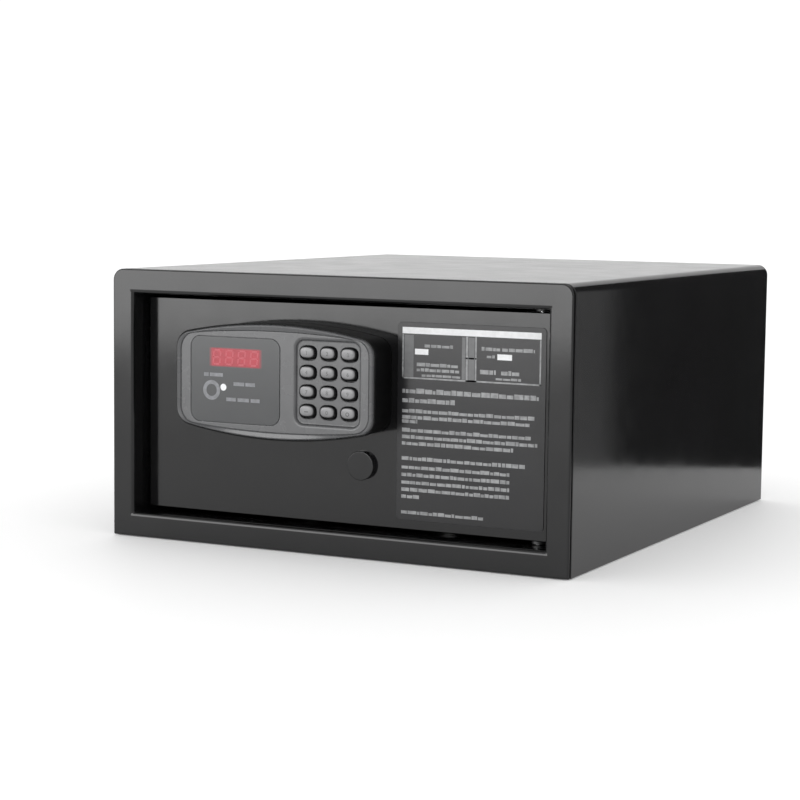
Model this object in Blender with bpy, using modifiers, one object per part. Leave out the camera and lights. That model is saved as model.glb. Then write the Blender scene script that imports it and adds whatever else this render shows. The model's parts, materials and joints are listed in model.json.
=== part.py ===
"""In-room safe: steel cabinet, recessed door on concealed pivots, keypad panel, motor-driven live bolts.

Metres, +Z up. The door faces -Y. The origin is the centre of the underside.
Every position is worked out from the driving sizes below.
"""

import math

import bmesh
import bpy
from mathutils import Matrix, Vector

MM = 0.001

# Cabinet
WIDTH = 370 * MM
DEPTH = 430 * MM
HEIGHT = 200 * MM
SHEET = 2 * MM
RAIL = 18 * MM  # face width of the front frame on all four sides
CORNER = 8.5 * MM  # outer bend radius along the cabinet's top edges
SEAM = 2.6 * MM  # groove between the front frame and the body sheet
JAMB_DEPTH = 50 * MM
JAMB_BEND = 3 * MM
GAP = 0.3 * MM  # clearance between pieces that touch
ANCHOR_HOLE = 5 * MM
ANCHOR_SPREAD = 110 * MM
ANCHOR_BASE_Y = 40 * MM
ANCHOR_BACK_Z = 110 * MM
MAT_THICK = 2 * MM

# Door
DOOR_RECESS = 18 * MM
DOOR_GAP = 3 * MM
DOOR_THICK = 4 * MM
PIVOT_INSET = 33 * MM  # from the cabinet's right side
PIVOT_BEHIND = 4 * MM  # behind the door plate
PIN_RADIUS = 2.5 * MM
RUNNING = 0.12 * MM  # radial play of a turning fit

# Control panel, on the door
PANEL_X = -41.5 * MM
PANEL_Z = 123 * MM
PANEL_HALF = 82 * MM
PANEL_RISE = 42 * MM  # half height at the crown of the arch
PANEL_ARCH = 353 * MM
PANEL_CORNER = 13 * MM
PANEL_DEPTH = 28 * MM
BEZEL_DEPTH = 5.5 * MM
PANEL_WALL = 2 * MM
FIELD_DEPTH = 1.2 * MM
LENS_X = (-110.3 * MM, -36 * MM)
LENS_Z = (91.8 * MM, 153.6 * MM)
LENS_THICK = 1 * MM
LED_X = (-94.5 * MM, -51 * MM)
LED_Z = (131.5 * MM, 146.5 * MM)
KEYPAD_X = 2.6 * MM
KEYPAD_Z = 124.3 * MM
KEYPAD_HALF = (25.5 * MM, 30 * MM)
KEY_PITCH = (16.6 * MM, 13.9 * MM)
KEY_HALF = (6.6 * MM, 4.9 * MM)
KEY_PLAY = 0.35 * MM
KEY_NAMES = ("1", "2", "3", "4", "5", "6", "7", "8", "9", "clear", "0", "lock")

# Lock work behind the door plate
BOLT_Y_BEHIND = 14 * MM
BOLT_Z = (62 * MM, 138 * MM)
BOLT_RADIUS = 8 * MM
BOLT_TIP = 22.5 * MM  # from the cabinet's left side, drawn back
BOLT_TAIL = 84 * MM
MODULE = 1 * MM
PINION_TEETH = 14
PRESSURE_ANGLE = math.radians(20)
BACKLASH = 0.3 * MM
PINION_X = -35 * MM
RACK_PITCH_Z = 104 * MM
RACK_THICK = 5 * MM
OVERRIDE_X = 17.5 * MM
OVERRIDE_Z = 64.5 * MM
CAM_REACH = 18 * MM
COVER_X = (-131 * MM, 137 * MM)
COVER_Z = (26 * MM, 174 * MM)
COVER_DEPTH = 34 * MM
COVER_SHEET = 1.2 * MM
COVER_CORNER = 6 * MM
POST_X = (-119 * MM, 123 * MM)
POST_Z = (36 * MM, 164 * MM)
BAY_X = (47 * MM, 113 * MM)
BAY_Z = (66 * MM, 128 * MM)
CELL_RADIUS = 7.1 * MM
CELL_LENGTH = 50 * MM

LEFT, RIGHT = -WIDTH / 2, WIDTH / 2
FRONT, BACK = -DEPTH / 2, DEPTH / 2
DOOR_FRONT = FRONT + DOOR_RECESS
DOOR_BACK = DOOR_FRONT + DOOR_THICK
PANEL_FRONT = DOOR_FRONT - PANEL_DEPTH
PIVOT = Vector((RIGHT - PIVOT_INSET, DOOR_BACK + PIVOT_BEHIND, 0))
BOLT_Y = DOOR_BACK + BOLT_Y_BEHIND
PITCH_RADIUS = MODULE * PINION_TEETH / 2
COVER_BACK = DOOR_BACK + GAP + COVER_DEPTH
RACK_Y = DOOR_BACK + 27.3 * MM

X, Y, Z = Vector((1, 0, 0)), Vector((0, 1, 0)), Vector((0, 0, 1))


def clear_scene():
    for obj in list(bpy.data.objects):
        bpy.data.objects.remove(obj, do_unlink=True)


def collection(name):
    made = bpy.data.collections.new(name)
    bpy.context.scene.collection.children.link(made)
    return made


def material(name, colour, roughness, metallic=0.0):
    made = bpy.data.materials.new(name)
    made.use_nodes = True
    shader = made.node_tree.nodes["Principled BSDF"]
    shader.inputs["Base Color"].default_value = (*colour, 1)
    shader.inputs["Roughness"].default_value = roughness
    shader.inputs["Metallic"].default_value = metallic
    return made


clear_scene()
PARTS = collection("in_room_safe")
CUTTERS = collection("cutters")

BLACK_COAT = material("black_powder_coat", (0.022, 0.022, 0.024), 0.42)
DOOR_COAT = material("door_powder_coat", (0.026, 0.026, 0.028), 0.38)
BEZEL_PLASTIC = material("bezel_plastic", (0.055, 0.056, 0.06), 0.4)
HOUSING_PLASTIC = material("housing_plastic", (0.008, 0.008, 0.009), 0.5)
KEY_RUBBER = material("key_rubber", (0.16, 0.16, 0.17), 0.45)
LENS_PLASTIC = material("lens_plastic", (0.05, 0.052, 0.056), 0.2)
LED_RED = material("led_red", (0.55, 0.03, 0.05), 0.35)
LABEL_FILM = material("label_film", (0.04, 0.04, 0.042), 0.3)
ZINC = material("zinc_plate", (0.52, 0.53, 0.55), 0.35, 1.0)
STEEL = material("bright_steel", (0.6, 0.6, 0.61), 0.25, 1.0)
BRASS = material("brass", (0.62, 0.46, 0.2), 0.3, 1.0)
NYLON = material("white_nylon", (0.75, 0.74, 0.7), 0.45)
BOARD_GREEN = material("board_green", (0.01, 0.12, 0.05), 0.4)
BLACK_PLASTIC = material("black_plastic", (0.02, 0.02, 0.021), 0.5)
CELL_WRAP = material("cell_wrap", (0.1, 0.13, 0.2), 0.3)
CABLE_PVC = material("cable_pvc", (0.015, 0.015, 0.016), 0.5)
FELT = material("grey_felt", (0.05, 0.05, 0.055), 0.95)


# ---------------------------------------------------------------- making objects

def add(name, bm, finish, at=(0, 0, 0), smooth=False):
    """A new part from a bmesh whose points are measured from `at`."""
    bmesh.ops.recalc_face_normals(bm, faces=bm.faces)
    mesh = bpy.data.meshes.new(name)
    bm.to_mesh(mesh)
    bm.free()
    if smooth:
        mesh.shade_smooth()
        mesh.set_sharp_from_angle(angle=math.radians(35))
    if finish:
        mesh.materials.append(finish)
    obj = bpy.data.objects.new(name, mesh)
    obj.location = at
    PARTS.objects.link(obj)
    return obj


def as_cutter(obj):
    PARTS.objects.unlink(obj)
    CUTTERS.objects.link(obj)
    obj.hide_render = True
    obj.display_type = "WIRE"
    return obj


def boolean(obj, operation, *tools):
    for tool in tools:
        modifier = obj.modifiers.new(f"{operation.lower()}_{tool.name}", "BOOLEAN")
        modifier.operation = operation
        modifier.solver = "EXACT"
        modifier.object = as_cutter(tool)
    return obj


def cut(obj, *tools):
    return boolean(obj, "DIFFERENCE", *tools)


def join(obj, *tools):
    return boolean(obj, "UNION", *tools)


def bevel(obj, width, segments=2, angle=50):
    modifier = obj.modifiers.new("edge_rounding", "BEVEL")
    modifier.width = width
    modifier.segments = segments
    modifier.limit_method = "ANGLE"
    modifier.angle_limit = math.radians(angle)
    return obj


def box(name, x, y, z, finish=None):
    """A box between two values on each axis."""
    low = Vector((x[0], y[0], z[0]))
    high = Vector((x[1], y[1], z[1]))
    bm = bmesh.new()
    bmesh.ops.create_cube(bm, size=1)
    bmesh.ops.scale(bm, vec=high - low, verts=bm.verts)
    return add(name, bm, finish, at=(low + high) / 2)


def rod(name, start, axis, length, radius, finish=None, segments=24):
    """A round bar that begins at `start` and runs along `axis`."""
    bm = bmesh.new()
    bmesh.ops.create_cone(bm, cap_ends=True, segments=segments, radius1=radius, radius2=radius,
                          depth=length)
    bmesh.ops.translate(bm, vec=(0, 0, length / 2), verts=bm.verts)
    obj = add(name, bm, finish, at=start, smooth=True)
    obj.rotation_euler = Z.rotation_difference(axis).to_euler()
    return obj


def turned(name, profile, start, axis, finish=None, steps=24, ring=False):
    """A turned piece. The profile lists (radius, height along axis) down its outer side."""
    bm = bmesh.new()
    verts = [bm.verts.new((radius, 0, height)) for radius, height in profile]
    pairs = zip(verts, verts[1:] + verts[:1]) if ring else zip(verts, verts[1:])
    for a, b in pairs:
        bm.edges.new((a, b))
    obj = add(name, bm, finish, at=start)
    obj.rotation_euler = Z.rotation_difference(axis).to_euler()
    screw = obj.modifiers.new("turn", "SCREW")
    screw.steps = screw.render_steps = steps
    screw.use_merge_vertices = True
    screw.merge_threshold = 0.00001
    screw.use_smooth_shade = False
    return obj


def extruded(name, outline, y, finish=None):
    """An outline in the XZ plane, made solid between two values of y."""
    bm = bmesh.new()
    face = bm.faces.new([bm.verts.new((px, y[0], pz)) for px, pz in outline])
    made = bmesh.ops.extrude_face_region(bm, geom=[face])
    moved = [item for item in made["geom"] if isinstance(item, bmesh.types.BMVert)]
    bmesh.ops.translate(bm, vec=(0, y[1] - y[0], 0), verts=moved)
    return add(name, bm, finish)


def grown(bm, rim, loop):
    """Extrudes a closed rim of edges and puts the new rim on another loop of as many points."""
    order = {vert: index for index, vert in enumerate(rim_verts(rim))}
    made = bmesh.ops.extrude_edge_only(bm, edges=rim)["geom"]
    fresh = {item for item in made if isinstance(item, bmesh.types.BMVert)}
    placed = [None] * len(loop)
    for vert in fresh:
        partner = next(e.other_vert(vert) for e in vert.link_edges if e.other_vert(vert) in order)
        placed[order[partner]] = vert
    for vert, point in zip(placed, loop):
        vert.co = point
    return [bm.edges.get(pair) for pair in zip(placed, placed[1:] + placed[:1])]


def rim_verts(rim):
    """The rim's points in order: each one is the corner that an edge shares with the edge before."""
    return [(set(edge.verts) & set(before.verts)).pop() for edge, before in zip(rim, rim[-1:] + rim[:-1])]


def lofted(name, loops, finish=None, ring=False, smooth=False):
    """A skin through closed loops of points. A ring joins the last loop to the first."""
    bm = bmesh.new()
    verts = [bm.verts.new(point) for point in loops[0]]
    first = rim = [bm.edges.new(pair) for pair in zip(verts, verts[1:] + verts[:1])]
    for loop in loops[1:] + (loops[:1] if ring else []):
        rim = grown(bm, rim, loop)
    if ring:
        bmesh.ops.remove_doubles(bm, verts=bm.verts, dist=0.000001)
    else:
        bmesh.ops.edgeloop_fill(bm, edges=first)
        bmesh.ops.edgeloop_fill(bm, edges=rim)
    return add(name, bm, finish, smooth=smooth)


def strip_shell(name, path, y, thickness, finish):
    """Sheet metal bent along a path in the XZ plane and run from y[0] to y[1]."""
    bm = bmesh.new()
    verts = [bm.verts.new((px, y[0], pz)) for px, pz in path]
    edges = [bm.edges.new(pair) for pair in zip(verts, verts[1:])]
    made = bmesh.ops.extrude_edge_only(bm, edges=edges)
    moved = [item for item in made["geom"] if isinstance(item, bmesh.types.BMVert)]
    bmesh.ops.translate(bm, vec=(0, y[1] - y[0], 0), verts=moved)
    mesh_object = add(name, bm, finish)
    solid = mesh_object.modifiers.new("sheet_thickness", "SOLIDIFY")
    solid.thickness = thickness
    solid.offset = -1
    solid.use_even_offset = True
    return mesh_object


# ---------------------------------------------------------------- outlines

def arc(centre, radius, start, end, steps):
    """Points on an arc from one angle to another, both in degrees."""
    turns = [math.radians(start + (end - start) * i / steps) for i in range(steps + 1)]
    return [(centre[0] + radius * math.cos(t), centre[1] + radius * math.sin(t)) for t in turns]


def rounded(x, z, radii, steps=3):
    """A rectangle's outline, anticlockwise from the lower right; radii start there too."""
    corners = ((x[1], z[0], -90), (x[1], z[1], 0), (x[0], z[1], 90), (x[0], z[0], 180))
    points = []
    for (cx, cz, start), radius in zip(corners, radii):
        inward_x = radius if cx == x[0] else -radius
        inward_z = radius if cz == z[0] else -radius
        points += arc((cx + inward_x, cz + inward_z), radius, start, start + 90, steps)
    return points


def oval(centre, half, steps=16):
    """A key's outline, between an ellipse and a rectangle."""
    points = []
    for i in range(steps):
        turn = 2 * math.pi * i / steps
        c, s = math.cos(turn), math.sin(turn)
        points.append((centre[0] + half[0] * math.copysign(abs(c) ** 0.75, c),
                       centre[1] + half[1] * math.copysign(abs(s) ** 0.75, s)))
    return points


def arched(half, rise, arch, corner, inset=0.0, arch_steps=12, corner_steps=4):
    """The panel's outline: upright sides, arched top and bottom, rounded corners."""
    half, rise, arch, corner = half - inset, rise - inset, arch - inset, corner - inset
    crown = rise - arch
    fillet_x = half - corner
    fillet_z = crown + math.sqrt((arch - corner) ** 2 - fillet_x ** 2)
    lean = math.degrees(math.atan2(fillet_z - crown, fillet_x))
    right_top = arc((fillet_x, fillet_z), corner, 0, lean, corner_steps)
    top = arc((0, crown), arch, lean, 180 - lean, arch_steps)[1:-1]
    upper = right_top + top + [(-px, pz) for px, pz in reversed(right_top)]
    return upper + [(-px, -pz) for px, pz in upper]


def panel_loop(inset, y):
    outline = arched(PANEL_HALF, PANEL_RISE, PANEL_ARCH, PANEL_CORNER, inset)
    return [(PANEL_X + px, y, PANEL_Z + pz) for px, pz in outline]


def cabinet_loop(inset, y, radius=None):
    """A loop round the cabinet's front, `inset` inside its outer sides."""
    top = max(CORNER - inset, 1 * MM) if radius is None else radius
    foot = 0.8 * MM
    outline = rounded((LEFT + inset, RIGHT - inset), (inset, HEIGHT - inset), (foot, top, top, foot))
    return [(px, y, pz) for px, pz in outline]


# ---------------------------------------------------------------- cabinet

def make_body_wrap():
    path = [(LEFT, 0)]
    path += arc((LEFT + CORNER, HEIGHT - CORNER), CORNER, 180, 90, 6)
    path += arc((RIGHT - CORNER, HEIGHT - CORNER), CORNER, 90, 0, 6)
    path += [(RIGHT, 0)]
    wrap = strip_shell("body_wrap", path, (FRONT + SHEET + SEAM, BACK), SHEET, BLACK_COAT)
    return bevel(wrap, 0.7 * MM, 2)


def make_front_frame():
    """Face plate, jambs bent back round the door opening, and a lap that slides inside the body."""
    lap_out, lap_in = SHEET + 0.4 * MM, SHEET + 2.2 * MM
    face_round = 1.5 * MM
    bend = JAMB_BEND
    profile = [(lap_out, SHEET), (0, SHEET)]
    profile += [(face_round * (1 - math.sin(t)), face_round * (1 - math.cos(t)))
                for t in (math.pi / 2, math.pi / 4, 0)]
    profile += [(RAIL - bend + bend * math.sin(t), bend * (1 - math.cos(t)))
                for t in (math.radians(a) for a in (0, 22.5, 45, 67.5, 90))]
    profile += [(RAIL, JAMB_DEPTH), (RAIL - SHEET, JAMB_DEPTH), (RAIL - SHEET, bend),
                (RAIL - bend, SHEET), (lap_in, SHEET), (lap_in, 14 * MM), (lap_out, 14 * MM)]
    loops = [cabinet_loop(inset, FRONT + depth) for inset, depth in profile]
    frame = lofted("front_frame", loops, BLACK_COAT, ring=True)
    for i, z in enumerate(BOLT_Z):
        cut(frame, rod(f"strike_hole_{i + 1}", (LEFT + RAIL - 5 * MM, BOLT_Y, z), X, 10 * MM,
                       BOLT_RADIUS + 0.8 * MM, segments=32))
    for name, z in (("top", HEIGHT - RAIL - 4 * MM), ("bottom", RAIL - 6 * MM)):
        cut(frame, rod(f"pivot_hole_{name}", (PIVOT.x, PIVOT.y, z), Z, 10 * MM,
                       PIN_RADIUS + 0.4 * MM))


def make_base_plate():
    inside = SHEET + GAP
    base = box("base_plate", (LEFT + inside, RIGHT - inside), (FRONT + SHEET + SEAM, BACK),
               (0, SHEET), BLACK_COAT)
    for i, side in enumerate((-1, 1)):
        cut(base, rod(f"base_anchor_{i + 1}", (side * ANCHOR_SPREAD, ANCHOR_BASE_Y, -5 * MM), Z,
                      12 * MM, ANCHOR_HOLE))


def make_back_panel():
    """A pan with its flange turned forward, inside the end of the body."""
    edge, flange, bend = SHEET + 0.4 * MM, 14 * MM, 2.5 * MM
    profile = [(edge + bend, BACK), (edge + 0.3 * bend, BACK - 0.3 * bend), (edge, BACK - bend),
               (edge, BACK - flange), (edge + SHEET, BACK - flange),
               (edge + SHEET, BACK - bend), (edge + bend, BACK - SHEET)]
    back = lofted("back_panel", [cabinet_loop(inset, y) for inset, y in profile], BLACK_COAT)
    for i, side in enumerate((-1, 1)):
        cut(back, rod(f"back_anchor_{i + 1}", (side * ANCHOR_SPREAD, BACK - 8 * MM, ANCHOR_BACK_Z),
                      Y, 12 * MM, ANCHOR_HOLE))


def make_floor_mat():
    mat = box("floor_mat", (LEFT + 8 * MM, RIGHT - 8 * MM), (FRONT + 60 * MM, BACK - 20 * MM),
              (SHEET + GAP, SHEET + GAP + MAT_THICK), FELT)
    for i, side in enumerate((-1, 1)):
        cut(mat, rod(f"mat_hole_{i + 1}", (side * ANCHOR_SPREAD, ANCHOR_BASE_Y, 0), Z, 12 * MM,
                     13 * MM))


def make_hinge_pins():
    """Headed pins through the frame's top and bottom jambs, each with a thrust washer."""
    jamb = RAIL - SHEET
    for name, away, level in (("top", Z, HEIGHT - jamb), ("bottom", -Z, jamb)):
        start = Vector((PIVOT.x, PIVOT.y, level)) + away * GAP
        head, shank = 3 * MM, 18.5 * MM
        turned(f"hinge_pin_{name}", [(0, head), (4.4 * MM, head), (5 * MM, head - 0.6 * MM), (5 * MM, 0),
                                     (PIN_RADIUS, 0), (PIN_RADIUS, -shank),
                                     (PIN_RADIUS - 0.6 * MM, -shank - 0.6 * MM), (0, -shank - 0.6 * MM)],
               start, away, STEEL, steps=28)
        inner = PIN_RADIUS + 0.15 * MM
        washer = start - away * (GAP + SHEET + DOOR_GAP - 0.4 * MM)
        turned(f"hinge_washer_{name}", [(5.2 * MM, 2.1 * MM), (5.2 * MM, 0), (inner, 0),
                                        (inner, 2.1 * MM)], washer, away, BLACK_PLASTIC, ring=True)


# ---------------------------------------------------------------- door

def make_door_plate():
    edge = RAIL + DOOR_GAP
    door = box("door_plate", (LEFT + edge, RIGHT - edge), (DOOR_FRONT, DOOR_BACK),
               (edge, HEIGHT - edge), DOOR_COAT)
    bevel(door, 0.8 * MM, 2)
    for i, (x, z) in enumerate((x, z) for x in POST_X for z in POST_Z):
        length = COVER_BACK - COVER_SHEET - GAP - DOOR_BACK
        join(door, rod(f"cover_post_{i + 1}", (x, DOOR_BACK - 1 * MM, z), Y, length + 1 * MM, 4 * MM))
        cut(door, rod(f"post_thread_{i + 1}", (x, DOOR_BACK + length - 8 * MM, z), Y, 10 * MM, 2.1 * MM,
                      segments=16))
    cut(door, rod("cylinder_hole", (OVERRIDE_X, DOOR_FRONT - 5 * MM, OVERRIDE_Z), Y, 15 * MM, 9.7 * MM,
                  segments=32))
    cut(door, rod("cable_hole", (PANEL_X, DOOR_FRONT - 5 * MM, PANEL_Z), Y, 15 * MM, 7 * MM))
    for name, side in (("left", -1), ("right", 1)):
        cut(door, rod(f"panel_screw_hole_{name}", (PANEL_X + side * 60 * MM, DOOR_FRONT - 5 * MM, PANEL_Z),
                      Y, 15 * MM, 2.4 * MM, segments=16))


def make_hinge_brackets():
    """Blocks on the door's back, bored for the hinge pins."""
    edge = RAIL + DOOR_GAP + GAP
    for name, z in (("top", (HEIGHT - edge - 15 * MM, HEIGHT - edge)), ("bottom", (edge, edge + 15 * MM))):
        block = box(f"hinge_bracket_{name}", (PIVOT.x - 11 * MM, PIVOT.x + 10 * MM),
                    (DOOR_BACK + GAP, DOOR_BACK + 11 * MM), z, ZINC)
        cut(block, rod(f"pivot_bore_{name}", (PIVOT.x, PIVOT.y, z[0] - 5 * MM), Z, 25 * MM,
                       PIN_RADIUS + RUNNING, segments=28))


def make_instruction_label():
    return box("instruction_label", (45 * MM, 158.5 * MM), (DOOR_FRONT - GAP - 0.25 * MM, DOOR_FRONT - GAP),
               (28 * MM, 168.5 * MM), LABEL_FILM)


# ---------------------------------------------------------------- control panel

def key_places():
    for index, name in enumerate(KEY_NAMES):
        row, column = divmod(index, 3)
        yield name, (KEYPAD_X + (column - 1) * KEY_PITCH[0], KEYPAD_Z + (1.5 - row) * KEY_PITCH[1])


def make_panel_bezel():
    """The front shell, with a sunk field, a lens pocket, a display window and a keypad well."""
    face, seat = PANEL_FRONT, PANEL_FRONT + BEZEL_DEPTH
    inner = face + FIELD_DEPTH + LENS_THICK + 1.2 * MM
    wall = PANEL_WALL + 0.2 * MM
    loops = [panel_loop(3.2 * MM, face), panel_loop(1 * MM, face + 0.9 * MM), panel_loop(0, face + 3 * MM),
             panel_loop(0, seat), panel_loop(wall, seat), panel_loop(wall, inner)]
    bezel = lofted("panel_bezel", loops, BEZEL_PLASTIC)
    floor = face + 6 * MM
    well_x = (KEYPAD_X - KEYPAD_HALF[0], KEYPAD_X + KEYPAD_HALF[0])
    well_z = (KEYPAD_Z - KEYPAD_HALF[1], KEYPAD_Z + KEYPAD_HALF[1])
    wall, round_in = 1.5 * MM, 6 * MM
    around = rounded((well_x[0] - wall, well_x[1] + wall), (well_z[0] - wall, well_z[1] + wall),
                     [round_in + wall] * 4, 4)
    join(bezel, extruded("keypad_well_wall", around, (inner - 0.6 * MM, floor + wall)))
    field = [(PANEL_X + px, PANEL_Z + pz)
             for px, pz in arched(77 * MM, 36 * MM, 700 * MM, 12 * MM)]
    cut(bezel, extruded("sunk_field", field, (face - 5 * MM, face + FIELD_DEPTH)))
    pocket = rounded((LENS_X[0] - GAP, LENS_X[1] + GAP), (LENS_Z[0] - GAP, LENS_Z[1] + GAP), [8 * MM] * 4, 4)
    cut(bezel, extruded("lens_pocket", pocket, (face - 5 * MM, face + FIELD_DEPTH + LENS_THICK)))
    cut(bezel, box("display_window", LED_X, (face - 5 * MM, inner + 2 * MM), LED_Z))
    cut(bezel, extruded("keypad_well", rounded(well_x, well_z, [round_in] * 4, 4), (face - 5 * MM, floor)))
    play = (KEY_HALF[0] + KEY_PLAY, KEY_HALF[1] + KEY_PLAY)
    for name, centre in key_places():
        cut(bezel, extruded(f"key_hole_{name}", oval(centre, play), (floor - 2 * MM, floor + 5 * MM)))


def make_panel_housing():
    """The deep back shell of the panel, open towards the bezel."""
    rim, floor = PANEL_FRONT + BEZEL_DEPTH + GAP, DOOR_FRONT - GAP
    loops = [panel_loop(PANEL_WALL + 0.6 * MM, floor - PANEL_WALL), panel_loop(PANEL_WALL + 0.6 * MM, rim),
             panel_loop(0.6 * MM, rim), panel_loop(0.6 * MM, floor)]
    housing = lofted("panel_housing", loops, HOUSING_PLASTIC)
    cut(housing, rod("housing_cable_hole", (PANEL_X, floor - 5 * MM, PANEL_Z), Y, 10 * MM, 6 * MM))
    for name, side in (("left", -1), ("right", 1)):
        cut(housing, rod(f"housing_thread_{name}", (PANEL_X + side * 60 * MM, floor - 5 * MM, PANEL_Z), Y,
                         10 * MM, 1.8 * MM, segments=16))


def make_panel_inside():
    board_y = PANEL_FRONT + 12 * MM
    box("circuit_board", (PANEL_X - 74 * MM, PANEL_X + 74 * MM), (board_y, board_y + 1.6 * MM),
        (PANEL_Z - 31 * MM, PANEL_Z + 31 * MM), BOARD_GREEN)
    box("keypad_mat", (KEYPAD_X - 24 * MM, KEYPAD_X + 24 * MM), (board_y - GAP - 0.7 * MM, board_y - GAP),
        (KEYPAD_Z - 28 * MM, KEYPAD_Z + 28 * MM), KEY_RUBBER)
    extruded("display_lens", rounded(LENS_X, LENS_Z, [7.5 * MM] * 4, 4),
             (PANEL_FRONT + FIELD_DEPTH, PANEL_FRONT + FIELD_DEPTH + LENS_THICK - GAP), LENS_PLASTIC)
    side = 1 * MM
    box("display_module", (LED_X[0] + side, LED_X[1] - side),
        (PANEL_FRONT + FIELD_DEPTH + LENS_THICK + GAP, board_y - GAP), (LED_Z[0] + side, LED_Z[1] - side),
        LED_RED)
    for name, way in (("left", -1), ("right", 1)):
        turned(f"panel_screw_{name}",
               [(0, 2.2 * MM), (2.4 * MM, 2 * MM), (3.6 * MM, 1 * MM), (3.6 * MM, 0), (1.5 * MM, 0),
                (1.5 * MM, -6.5 * MM), (0, -7.5 * MM)],
               (PANEL_X + way * 60 * MM, DOOR_BACK + GAP, PANEL_Z), Y, ZINC, steps=16)


def make_keys():
    """Domed keys, each with a flange behind the well's floor that keeps it in."""
    floor_back = PANEL_FRONT + 7.5 * MM
    top = PANEL_FRONT + 1 * MM
    sections = ((0.75 * MM, floor_back + GAP + 1.1 * MM), (0.75 * MM, floor_back + GAP),
                (0, floor_back + GAP), (-0.2 * MM, top + 1.6 * MM), (-0.9 * MM, top + 0.6 * MM),
                (-2.4 * MM, top))
    for name, (x, z) in key_places():
        loops = [[(px, y, pz) for px, pz in oval((0, 0), (KEY_HALF[0] + grow, KEY_HALF[1] + grow))]
                 for grow, y in sections]
        key = lofted(f"key_{name}", [[(px, y - PANEL_FRONT, pz) for px, y, pz in loop] for loop in loops],
                     KEY_RUBBER, smooth=True)
        key.location = (x, PANEL_FRONT, z)


# ---------------------------------------------------------------- lock work

def make_bolts():
    """Two live bolts and the carrier that joins their tails."""
    for name, z in zip(("lower", "upper"), BOLT_Z):
        length = BOLT_TAIL - BOLT_TIP
        turned(f"live_bolt_{name}",
               [(0, length), (BOLT_RADIUS - 1.2 * MM, length), (BOLT_RADIUS, length - 1.2 * MM),
                (BOLT_RADIUS, 0), (0, 0)],
               (LEFT + BOLT_TAIL, BOLT_Y, z), -X, STEEL, steps=32)
    carrier = box("bolt_carrier", (LEFT + BOLT_TAIL + GAP, LEFT + BOLT_TAIL + 8 * MM),
                  (BOLT_Y - 8 * MM, RACK_Y + RACK_THICK), (BOLT_Z[0] - 10 * MM, BOLT_Z[1] + 10 * MM), ZINC)
    bevel(carrier, 0.8 * MM, 1)


def make_bolt_guide():
    """An angle on the door's back that carries the bolts at its free edge."""
    leg, foot, reach = 4 * MM, 2 * MM, 27.7 * MM
    x0, y0 = LEFT + 26 * MM, DOOR_BACK + GAP
    z = (BOLT_Z[0] - 16 * MM, BOLT_Z[1] + 16 * MM)
    guide = box("bolt_guide", (x0, x0 + leg), (y0, y0 + reach), z, ZINC)
    join(guide, box("guide_foot", (x0 + leg / 2, x0 + 24 * MM), (y0, y0 + foot), z))
    for i, height in enumerate(BOLT_Z):
        cut(guide, rod(f"guide_bore_{i + 1}", (x0 - 5 * MM, BOLT_Y, height), X, 15 * MM,
                       BOLT_RADIUS + GAP, segments=32))


def involute(base_radius, radius):
    """The angle that an involute has turned through where it reaches a radius."""
    return math.sqrt(max((radius / base_radius) ** 2 - 1, 0)) - math.acos(min(base_radius / radius, 1))


def pinion_outline():
    """Involute teeth, with a space facing straight down."""
    base = PITCH_RADIUS * math.cos(PRESSURE_ANGLE)
    root, tip = PITCH_RADIUS - 1.25 * MODULE, PITCH_RADIUS + MODULE
    half_tooth = (math.pi / 2 - BACKLASH / (2 * MODULE)) / PINION_TEETH
    at_pitch = involute(base, PITCH_RADIUS)
    radii = [base + (tip - base) * i / 4 for i in range(5)]
    flank = [(radius, half_tooth + at_pitch - involute(base, radius)) for radius in radii]
    points = []
    for tooth in range(PINION_TEETH):
        middle = -math.pi / 2 + math.pi / PINION_TEETH * (2 * tooth + 1)
        side = [(root, flank[0][1])] + flank
        for radius, spread in [(r, -s) for r, s in side] + list(reversed(side)):
            points.append((radius * math.cos(middle + spread), radius * math.sin(middle + spread)))
    return points


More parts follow.
